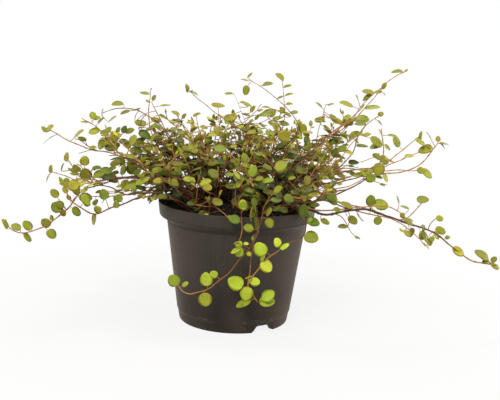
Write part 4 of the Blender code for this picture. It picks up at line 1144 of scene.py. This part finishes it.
# open places in the plant, as the front sees them on the plane y = 0: x, z, radius, share of leaves missing
gaps = (
    (-104, 119, 9, 0.75), (-82, 108, 8, 0.85), (-70, 154, 8, 0.6), (-104, 131, 6, 0.4),
    (54, 148, 8, 0.75), (65, 160, 7, 0.4), (101, 127, 8, 0.8), (80, 102, 7, 0.6), (91, 102, 8, 0.7),
    (114, 104, 9, 0.9), (70, 90, 8, 0.9), (96, 114, 5, 0.7), (101, 103, 6, 0.8), (66, 91, 5, 0.8),
    (77, 91, 6, 0.85), (85, 92, 6, 0.85), (79, 98, 4, 0.8), (99, 99, 6, 0.85), (112, 102, 6, 0.8),
    (92, 91, 9, 0.9), (-115, 106, 7, 0.4),
)


# the share of leaves that the gaps take out at a point, which its line to the viewer carries to y = 0
def gapAt(point):
    eye = np.array(camera["place"]) / mm
    flat = eye + (np.asarray(point) - eye) * eye[1] / (eye[1] - point[1])
    return max(share * (math.hypot(flat[0] - x, flat[2] - z) < radius) for x, z, radius, share in gaps)


# Open ground, where "lift" is the height over the rim's front at which a viewer who looks down by a fifth
# sees a point. Over the soil: x from and to, lift from and to, and the share of leaves missing. Beside the
# pot: the x where it starts, and a line above it as a place, the line's height there and its slope.
openGround = {
    "rimFront": 58, "lookDown": 0.19, "behind": 20,
    "overSoil": ((-50, 5, 88, 112, 0.8), (5, 55, 0, 104, 0.65)),
    "beside": ((55, 55, 98, 0.5), (-50, -61, 101, 0.28)), "besideShare": 0.85,
    "tangleShare": 0.25, "tangleReach": (85, 60), "tangleTop": (150, 120),
    "noSideGrowth": 0.5,  # the share of a gap from which on nothing grows across it
    "trailers": {"front": -30, "top": 101, "beyond": 52, "beside": 60},  # y, height, radius and x
}


# how many leaves are missing at a point: many low down, and some deep in the tangle
def bareness(point):
    x, y, z = point
    lift = z + openGround["lookDown"] * (y + openGround["rimFront"])
    for left, right, low, high, share in openGround["overSoil"]:
        if y < openGround["behind"] and left <= x < right and low < lift < high:
            return share
    for edge, middle, height, slope in openGround["beside"]:
        beyond = x >= edge if edge > 0 else x < edge
        if beyond and lift < height + slope * (x - middle):
            return openGround["besideShare"]
    inwards = smoothStep(*openGround["tangleReach"], math.hypot(x, y))
    return openGround["tangleShare"] * float(inwards * smoothStep(*openGround["tangleTop"], z))


# a leaf at a node: its stalk leaves on the side 'out', and its face looks up and away from the middle
def leafAt(point, along, out, habit, share, rng, size):
    outward = unit(np.array([point[0], point[1], 0.0]) + 1e-6)
    way = unit(out + 0.35 * along + 0.2 * up + rng.normal(size=3) * 0.15)
    axis = (way + 0.3 * outward + rng.normal(size=3) * 0.35) * np.array([1, 1, 0.35]) - 0.15 * up
    opening = growing["open"] * (1.2 - 0.7 * smoothStep(110, 180, point[2])) * rng.uniform(0.3, 1.6)
    toFront = 0.2 * smoothStep(40, -20, point[1]) * towardsViewer
    normal = up + opening * outward + rng.normal(size=3) * 0.36 + toFront
    youth = float(smoothStep(0.72, 1.0, share)) * rng.uniform(0.2, 0.9)
    length = rng.uniform(*growing["leafLength"]) * size * (1 - 0.25 * float(smoothStep(0.6, 1, share)))
    base = point + unit(way + 0.35 * unit(axis)) * rng.uniform(*growing["stalk"]) * size
    return newLeaf(point, base, axis, normal, length, rng, youth, tintAt(point, habit, rng))


# a way in the front view by its clock angle, leaning towards or away from the viewer
def clockWay(angle, lean):
    turn = math.radians(angle)
    return np.array([math.cos(turn), lean, math.sin(turn)])


# a listed leaf, as it is described above the table
def placedLeaf(root, clock, stalk, length, face, bend, manner, share, rng):
    base = root + clockWay(clock, rng.uniform(*manner["stalkLean"])) * stalk
    lean = rng.uniform(*manner["lean"])
    axis = clockWay(clock + bend, lean)
    normal = facing(axis, face)
    youth = float(smoothStep(0.85, 1.0, share)) * rng.uniform(0.1, 0.6) * manner["youth"]
    shaded = float(smoothStep(*growing["rimShade"], root[2]))
    tint = rng.uniform(*manner["tint"]) - manner["shade"] * shaded
    warm = rng.uniform(*manner["warm"])
    aspect = rng.uniform(*manner["aspect"]) - manner["youngAspect"] * youth
    length *= math.hypot(1, lean) * manner["longer"]
    return newLeaf(root, base, axis, normal, length, rng, youth, tint, aspect, warm)


# lengths along a stem, closer together towards its tip
def nodePlaces(reach, bare, spacing, rng):
    places, at = [], bare
    while at < reach - growing["lastNode"]:
        places.append(at)
        at += rng.uniform(*spacing) * (1 - growing["crowding"] * at / reach)
    return places


# the number of the curve's first point at this length or beyond it
def indexAt(reach, at):
    return min(int(np.searchsorted(reach, at)), len(reach) - 1)


# the point at this length along a curve, on the straight line between its neighbours
def pointOn(curve, reach, at):
    return np.array([np.interp(at, reach, curve[:, axis]) for axis in range(3)])


# a few small young blades folded up round the end of a stem
def tipLeaves(curve, rng, youth=0.85, size=1.0, count=3):
    along = unit(curve[-1] - curve[-3])
    side = square(rng.normal(size=3), along)
    leaves = []
    for index in range(count):
        spin = index * growing["tipTurn"]
        out = side * math.cos(spin) + np.cross(along, side) * math.sin(spin)
        length = rng.uniform(*growing["tipLength"]) * size * (1 - 0.2 * index)
        axis = along + 0.5 * out * (index + 0.3)
        root = curve[-1] - along * 0.8 * index
        base = root + unit(out + 0.3 * axis) * 0.6
        tint, aspect = rng.uniform(0.4, 0.9), rng.uniform(0.5, 0.7)
        leaves.append(newLeaf(root, base, axis, up + 0.8 * out, length, rng, youth, tint, aspect))
    return leaves


# leaves along one stem, each turned from the last, up to a share of its length; returns the nodes
def dress(curve, bare, spacing, habit, rng, leaves, shareFrom=0.0, size=1.0, last=1.0, full=1.0):
    reach = lengthsAlong(curve)
    along, side, other = steadyFrames(curve)
    turn = rng.uniform(0, 2 * math.pi)
    nodes = nodePlaces(reach[-1], bare, spacing, rng)
    for at in nodes:
        turn += math.radians(growing["turn"])
        if at / reach[-1] > last:
            continue
        index = indexAt(reach, at)
        out = unit(side[index] * math.cos(turn) + other[index] * math.sin(turn) + 0.15 * up)
        share = shareFrom + (1 - shareFrom) * at / reach[-1]
        leaf = leafAt(pointOn(curve, reach, at), along[index], out, habit, share, rng, size)
        middle = leaf["base"] + leaf["axis"] * leaf["length"] * 0.6
        grows = rng.uniform() < (1 - bareness(middle)) * (1 - gapAt(middle)) * (0.4 + 0.6 * full)
        blocked = hitsPot(middle, growing["bladeSpare"]) or hitsPot(leaf["base"], growing["stalkSpare"])
        if grows and not blocked:
            leaves.append(leaf)
    return nodes


# side growth is left out in the open places, and over the front of the rim, where the trailers hang
def outOfPlace(curve):
    x, y, z = curve[-1]
    front = openGround["trailers"]
    inFront = y < front["front"] and z < front["top"]
    hangs = inFront and math.hypot(x, y) > front["beyond"] and abs(x) < front["beside"]
    return hangs or any(gapAt(point) > openGround["noSideGrowth"] for point in curve[len(curve) // 2::3])


# a side stem with its leaves and tip, unless it would be out of place; kind is twig or branch
def addSideGrowth(stems, leaves, curve, kind, thick, habit, rng):
    own = []
    size = rng.uniform(*growing["sideSize"])
    nodes = dress(curve, kind["bare"], kind["spacing"], habit, rng, own, kind["share"], size)
    own += tipLeaves(curve, rng, rng.uniform(*growing["sideYouth"]), 0.85, 2)
    if outOfPlace(curve):
        return
    leaves += own
    count = len(curve)
    addStem(stems, curve, np.linspace(thick, kind["tip"], count), np.linspace(*kind["youth"], count), nodes)


# a side twig: an arc that leaves the stem at a slant and bends upwards
def growTwig(stems, leaves, start, along, out, length, habit, rng):
    heading = unit(0.75 * along + out + rng.normal(size=3) * 0.15)
    bend = unit(heading + habit["rise"] * rng.uniform(0.2, 2.0) * up + rng.normal(size=3) * 0.25)
    elbow = start + heading * length * twig["elbow"]
    points = [start, elbow, elbow + bend * length * (1 - twig["elbow"])]
    curve = keepOffPot(curveThrough(points, twig["step"]))
    addSideGrowth(stems, leaves, curve, twig, twig["radius"], habit, rng)


# a thin branch that leaves the stem low down and drifts away from it on its own course
def growBranch(stems, leaves, curve, reach, last, habit, rng):
    latest = branch["startShare"] * min(reach[-1], branch["startWithin"])
    start = rng.uniform(branch["start"], latest)
    end = min(start + rng.uniform(*branch["length"]), last * reach[-1])
    if end - start < branch["shortest"]:
        return
    along, side, other = steadyFrames(curve)
    index = indexAt(reach, start)
    turn = rng.uniform(0, 2 * math.pi)
    away = side[index] * math.cos(turn) + other[index] * math.sin(turn)
    drift = away * rng.uniform(*branch["drift"])
    points = []
    for t in np.linspace(0, 1, 5):
        drifted = pointOn(curve, reach, start + (end - start) * t) + drift * t ** 1.2
        points.append(drifted + rng.normal(size=3) * branch["stray"] * t)
    course = keepOffPot(curveThrough(points, branch["step"]))
    course[:, 2] -= branch["droop"] * np.maximum(course[:, 2] - branch["ceiling"], 0)
    addSideGrowth(stems, leaves, course, branch, habit["radius"][0] * branch["radius"], habit, rng)


# how young some shoots' bark is before their last stretch, where their group's own is 1 and less is older
# and darker, and how stout some shoots are, where their group's own is 1
barkYouth = {
    "right_runner": 0.36, "crown_hooked_shoot": 0.6, "left_twin_sprig": 0.6, "left_runner": 0.55,
    "left_lower_runner": 0.5, "front_left_sprig": 0.2, "front_middle_sprig": 0.3, "front_trailer": 0.6,
    "front_short_trailer": 0.6, "front_side_trailer": 0.5,
}
stoutness = {
    "left_runner": 1.2, "left_lower_runner": 1.2, "right_runner": 1.3, "right_high_runner": 0.78,
    "right_high_twin": 0.72, "crown_top_sprig": 0.45, "front_left_sprig": 0.7,
    "front_middle_sprig": 0.75,
}
# what share of their group's branches and twigs these shoots have
fullness = {
    "crown_fill_corner": 0.5, "crown_fill_left": 0.8, "crown_fill_right": 0.7, "left_lower_runner": 0.1,
    "right_front_shoot": 0.15, "right_low_shoot": 0.1, "right_drooping_shoot": 0.15,
    "right_runner": 0.2, "right_back_runner": 0.2, "right_far_shoot": 0.1, "back_right_runner": 0.3,
    "right_back_sprig": 0.4, "right_middle_shoot": 0.5, "right_cluster_shoot": 0.45,
    "crown_leaning_sprig": 0.6, "left_runner": 0.7,
}


# side stems listed where the front sees them, each from the place on its shoot that is nearest to its first
# point: its radius, its youth from 0 to 1 and its points
sideStems = {
    "left_runner": (
        (0.72, 0.12, (-56, -34, 103), (-70, -34, 102), (-82, -32, 100), (-93, -32, 105),
         (-100, -32, 106), (-109, -34, 104)),
        (0.5, 0.4, (-98, -34, 107), (-105, -36, 112), (-112, -36, 118), (-114, -36, 121)),
    ),
    "left_upper_runner": (
        (0.6, 0.5, (-57, -20, 106), (-65, -24, 114), (-73, -24, 123), (-82, -20, 132), (-90, -14, 140)),
    ),
    "left_high_shoot": (
        (0.55, 0.15, (-58, -10, 108), (-69, -10, 117), (-79, -12, 123), (-91, -14, 126)),
    ),
    "left_twin_sprig": ((0.55, 0.35, (-45, 0, 112), (-50, 6, 126), (-56, 10, 135), (-61, 12, 143)),),
    "crown_left_sprig": ((0.45, 0.6, (-4, 6, 148), (3, 6, 152), (9, 6, 158), (13, 6, 162)),),
    "crown_fill_corner": ((0.5, 0.75, (-29, -44, 97), (-29, -46, 106), (-28, -46, 119)),),
    "crown_fill_front": ((0.5, 0.55, (-9, -38, 135), (-1, -42, 126), (7, -46, 117)),),
    "crown_fill_left": ((0.45, 0.6, (-33, -34, 137), (-25, -36, 132), (-14, -36, 133)),),
    "crown_fill_right": (
        (0.8, 0.25, (39, -50, 105), (47, -52, 103), (56, -52, 104), (66, -50, 114)),
        (0.6, 0.2, (42, -40, 108), (54, -40, 115), (64, -38, 121), (76, -36, 126), (87, -34, 125)),
    ),
    "right_long_shoot": (
        (0.65, 0.3, (58, -48, 105), (68, -46, 110), (80, -46, 113), (90, -44, 119), (99, -44, 123)),
    ),
    "right_cluster_shoot": (
        (0.5, 0.4, (57, -46, 106), (67, -44, 111), (81, -44, 115), (90, -42, 120)),
    ),
    "right_runner": (
        (0.45, 0.35, (69, -59, 97), (76, -50, 92), (80, -48, 86), (83, -46, 81), (86, -45, 78)),
    ),
    "right_high_runner": (
        (0.65, 0.3, (35, -20, 117), (45, -18, 126), (57, -16, 138), (68, -14, 149), (79, -10, 157),
         (90, -6, 167)),
    ),
    "right_high_twin": (
        (0.55, 0.45, (41, -30, 113), (52, -26, 127), (60, -22, 139), (71, -18, 151), (82, -14, 159)),
    ),
    "right_back_sprig": (
        (0.5, 0.5, (50, -24, 112), (63, -22, 121), (75, -20, 131), (82, -18, 141), (89, -16, 149)),
    ),
    "crown_hooked_shoot": (
        (0.7, 0.0, (21, -24, 127), (27, -26, 135), (36, -28, 142), (41, -28, 149), (42, -28, 155)),
    ),
}


# a side stem thins to about half and gets younger as the square of its length, and ends in two small leaves
def growSideStems(stems, leaves, curve, name, rng):
    above = curve[stem["inSoil"]:]
    for thick, youth, *points in sideStems.get(name, ()):
        distance = np.linalg.norm(above - np.array(points[0]), axis=1)
        side = curveThrough([above[int(distance.argmin())], *points], stem["step"])
        share = np.linspace(0, 1, len(side))
        addStem(stems, side, np.linspace(thick, 0.55 * thick, len(side)), youth + 0.3 * share ** 2)
        leaves += tipLeaves(side, rng, rng.uniform(0.2, 0.6), 0.9, 2)


# shares out the listed leaves of the tangle among the shoots that are nearest to them, with 2 mm added
# for a stem that runs in front of the leaf
def shareOut(curves):
    hung = {name: [] for name in curves}
    for x, y, z, clock, length, face, tint in tangleLeaves:
        axis = clockWay(clock, 0)
        base = np.array((x, y, z), float) - axis * length / 2
        best = None
        for name, curve in curves.items():
            above = curve[stem["inSoil"]:]
            distance = np.linalg.norm(above - base, axis=1) + 2 * (above[:, 1] < base[1] - 4)
            if best is None or distance.min() < best[0]:
                best = (distance.min(), name, above[int(distance.argmin())])
        hung[best[1]].append((best[2], base, axis, length, face, tint))
    return hung


# turns a blade's upper face to the front by this share, and otherwise up
def facing(axis, face):
    edgeOn = np.cross(axis, towardsViewer)
    edgeOn = unit(edgeOn if edgeOn[2] > 0 else -edgeOn)
    return face * (towardsViewer + 0.2 * up) + math.sqrt(1 - face * face) * edgeOn


# the leaves on a shoot's own stem: those that grow by themselves up to the first listed one, the listed
# ones, a tip where none of them makes one, and the leaves of the tangle that hang on this shoot
def growLeaves(name, curve, reach, habit, hung, last, full, rng):
    leaves = []
    placed = placedLeaves.get(name, ())
    nodes = dress(curve, habit["bare"], growing["spacing"], habit, rng, leaves, last=last, full=full)
    for share, clock, stalk, length, face, *bend in placed:
        root = pointOn(curve, reach, share * reach[-1])
        leaves.append(placedLeaf(root, clock, stalk, length, face, sum(bend), habit["placed"], share, rng))
    if max((leaf[0] for leaf in placed), default=0) < 0.93:
        leaves += tipLeaves(curve, rng)
    least, more = tangle["hungYouth"]
    for root, base, axis, length, face, tint in hung:
        youth = least + more * float(smoothStep(*tangle["hungTop"], base[2]))
        tint, warm = tint - tangle["hungShade"], rng.uniform(*tangle["hungWarm"])
        leaves.append(newLeaf(root, base, axis, facing(axis, face), length, rng, youth, tint, warm=warm))
    return leaves, nodes


# the radius and the youth of a shoot's bark along it
def barkAlong(name, share, habit):
    thick, thin = habit["radius"]
    radii = (thick + (thin - thick) * share ** 0.8) * stoutness.get(name, 1)
    young = barkYouth.get(name, 1)
    youth = (0.02 + 0.8 * smoothStep(0.05, 0.95, share)) * (young + (1 - young) * smoothStep(0.6, 1, share))
    return radii, youth


# one shoot with all that grows on it, as a piece of stems and stalks and a piece of leaves
def growShoot(name, route, habit, hung, rng):
    stems, blades = Stock(), Stock()
    full = fullness.get(name, 1)
    # leaves that grow by themselves end a little before the first listed one
    last = min((leaf[0] for leaf in placedLeaves.get(name, ())), default=1.04) - 0.04
    curve = stemCurve(route)
    reach = lengthsAlong(curve)
    along, side, other = steadyFrames(curve)
    # a slight zigzag between the nodes
    swing = stem["zigzag"] * smoothStep(*stem["zigzagFrom"], reach)
    swing = swing * np.sin(math.pi * reach / stem["zigzagStep"] + rng.uniform(0, 6))
    curve = curve + side * swing[:, None]
    leaves, nodes = growLeaves(name, curve, reach, habit, hung, last, full, rng)
    addStem(stems, curve, *barkAlong(name, reach / reach[-1], habit), nodes)
    turn = rng.uniform(0, 2 * math.pi)
    for at in nodePlaces(reach[-1], habit["bare"] * 0.5, twig["roots"], rng):
        turn += math.radians(growing["turn"])
        here, index = at / reach[-1], indexAt(reach, at)
        if here > min(last, 0.75) or curve[index][2] > twig["top"]:
            continue
        if rng.uniform() > full * habit["twigs"]:
            continue
        out = unit(side[index] * math.cos(turn) + other[index] * math.sin(turn))
        length = rng.uniform(*habit["length"]) * (1.15 - 0.7 * here)
        growTwig(stems, leaves, curve[index], along[index], out, length, habit, rng)
    for _ in range(round(full * habit["branches"])):
        growBranch(stems, leaves, curve, reach, min(last, 0.85), habit, rng)
    growSideStems(stems, leaves, curve, name, rng)
    addLeaves(stems, blades, leaves)
    stems.piece(name + "_stems", bark, "stem_bark", (name,))
    blades.piece(name + "_leaves", foliage, "leaf_green", (name,))
    return len(leaves)


oldWood = {"radius": (0.98, 0.72), "youth": 0.12, "bare": 8, "spacing": (6, 9)}


# a leafless old stem with its knuckles
def growOldStem(name, route, rng):
    stems = Stock()
    curve = stemCurve(route)
    nodes = nodePlaces(lengthsAlong(curve)[-1], oldWood["bare"], oldWood["spacing"], rng)
    radii = np.linspace(*oldWood["radius"], len(curve))
    addStem(stems, curve, radii, np.full(len(curve), oldWood["youth"]), nodes)
    stems.piece(name + "_bark", bark, "stem_bark", (name,))


leafColours = {
    "byTint": ((0.0, (0.019, 0.036, 0.007)), (0.35, (0.078, 0.114, 0.012)),
               (0.65, (0.2, 0.24, 0.018)), (1.0, (0.53, 0.6, 0.042))),
    "young": ((0.3, (0.27, 0.29, 0.03)), (0.75, (0.31, 0.2, 0.035))),
    "coolShift": (0.86, 1.0, 1.0), "warmShift": (1.27, 0.86, 1.0), "greener": (0.72, 0.93, 0.9),
    "blush": (0.36, 0.2, 0.022), "margin": (0.37, 0.205, 0.023),
    "veins": (0.42, 0.44, 0.08), "underside": (0.23, 0.26, 0.04),
}


# how far a place is from its blade's midrib, up to 0.5 at the edges, and how much it is on a vein: the
# midrib, or side veins that run forwards from it, five to a blade
def bladePattern(tree):
    where = addNode(tree, "ShaderNodeSeparateXYZ")
    mapped = addNode(tree, "ShaderNodeUVMap", uv_map="bladeMap")
    tree.links.new(mapped.outputs[0], where.inputs[0])
    fromRib = calculate(tree, "ABSOLUTE", calculate(tree, "SUBTRACT", where.outputs[0], 0.5))
    rib = steps(tree, fromRib, 0.035, 0.01)
    slanted = calculate(tree, "MULTIPLY_ADD", fromRib, -1.1, where.outputs[1])
    fold = calculate(tree, "PINGPONG", calculate(tree, "MULTIPLY", slanted, 5.0), 0.5)
    veins = calculate(tree, "MULTIPLY", steps(tree, fold, 0.09, 0.02), steps(tree, fromRib, 0.5, 0.2))
    return fromRib, calculate(tree, "MAXIMUM", rib, calculate(tree, "MULTIPLY", veins, 0.45))


# green by each leaf's tint and bronze where young, with greener patches, a rusty blush and a bronze margin
# on the warmer leaves, paler veins and a paler underside
def leafGreen():
    material, tree, shader = newMaterial("wireVineLeaf", 0.42)
    place = objectPlace(tree)
    tint, youth, under = pointValue(tree, "tint"), pointValue(tree, "youth"), pointValue(tree, "under")
    warm = pointValue(tree, "warm")
    fromRib, network = bladePattern(tree)
    mottle = noise(tree, place, 190, 2)
    tone = calculate(tree, "MULTIPLY_ADD", calculate(tree, "SUBTRACT", mottle, 0.5), 0.2, tint)
    green = colourRamp(tree, tone, leafColours["byTint"])
    shift = blendColours(tree, warm, leafColours["coolShift"], leafColours["warmShift"])
    green = blendColours(tree, 1.0, green, shift, "MULTIPLY")
    young = colourRamp(tree, mottle, leafColours["young"])
    base = layOver(tree, green, young, youth, 0.7)
    # greener patches inside each blade
    patches = steps(tree, noise(tree, place, 240, 2), 0.45, 0.62, 0, 0.45)
    base = layOver(tree, base, blendColours(tree, 1.0, base, leafColours["greener"], "MULTIPLY"), patches)
    # the warmer leaves blush rust and orange in patches, least along the rib
    whereWarm, offRib = steps(tree, warm, 0.4, 1.0, 0, 0.7), steps(tree, fromRib, 0.1, 0.45, 0.3, 1.0)
    patches = steps(tree, noise(tree, place, 230, 2), 0.48, 0.64)
    base = layOver(tree, base, leafColours["blush"], whereWarm, patches, offRib)
    base = layOver(tree, base, leafColours["veins"], network, 0.1)
    # a bronze margin, strongest on warm and pale leaves
    whereWarm, wherePale = steps(tree, warm, 0.05, 0.55, 0.12, 0.95), steps(tree, tint, 0.25, 0.6, 0.15, 1.0)
    atEdge = steps(tree, fromRib, 0.33, 0.49)
    base = layOver(tree, base, leafColours["margin"], atEdge, whereWarm, wherePale)
    base = layOver(tree, base, leafColours["underside"], under, 0.22)
    tree.links.new(base, shader.inputs["Base Color"])
    tree.links.new(steps(tree, mottle, 0.3, 0.7, 0.4, 0.52), shader.inputs["Roughness"])
    shader.inputs["Specular IOR Level"].default_value = 0.14
    height = calculate(tree, "MULTIPLY_ADD", network, -0.6, noise(tree, place, 900, 2))
    bump(tree, shader, height, 0.25, 0.00015)
    return material


barkColours = (  # from old to young
    (0.0, (0.028, 0.014, 0.008)), (0.3, (0.13, 0.048, 0.013)), (0.6, (0.275, 0.118, 0.028)),
    (0.85, (0.36, 0.18, 0.03)), (1.0, (0.36, 0.28, 0.04)),
)


# dark red-brown where old, orange-brown along the stems and stalks, olive at the tips, all speckled
def wiryBark():
    material, tree, shader = newMaterial("wiryBark", 0.38)
    shader.inputs["Specular IOR Level"].default_value = 0.23
    place = objectPlace(tree)
    speckle = noise(tree, place, 500, 4, 0.65)
    uneven = calculate(tree, "SUBTRACT", speckle, 0.5)
    tone = calculate(tree, "MULTIPLY_ADD", uneven, 0.4, pointValue(tree, "youth"))
    tree.links.new(colourRamp(tree, tone, barkColours), shader.inputs["Base Color"])
    bump(tree, shader, speckle, 0.5, 0.0002)
    return material


bpy.context.scene.view_settings.view_transform = "Standard"
makeCamera()
makeStudio()
print("camera, lamps and floor")
makePot(potPlastic())
print("pot")
makeSoil(moistPeat())
print("soil")
foliage, bark = leafGreen(), wiryBark()
groups = {
    "left": leftShoots, "right": rightShoots, "crown": crownShoots,
    "front": frontShoots, "back": backShoots,
}
curves = {name: stemCurve(route) for shoots in groups.values() for name, route in shoots.items()}
hungLeaves = shareOut(curves)
leafCount = 0
for group, shoots in groups.items():
    for index, (name, route) in enumerate(shoots.items()):
        rng = np.random.default_rng(sum(name.encode()) * 31 + index)
        leafCount += growShoot(name, route, habits[group], hungLeaves[name], rng)
    print(group, "shoots")
for index, (name, route) in enumerate(oldStems.items()):
    growOldStem(name, route, np.random.default_rng(index))
print("plant with", leafCount, "leaves")
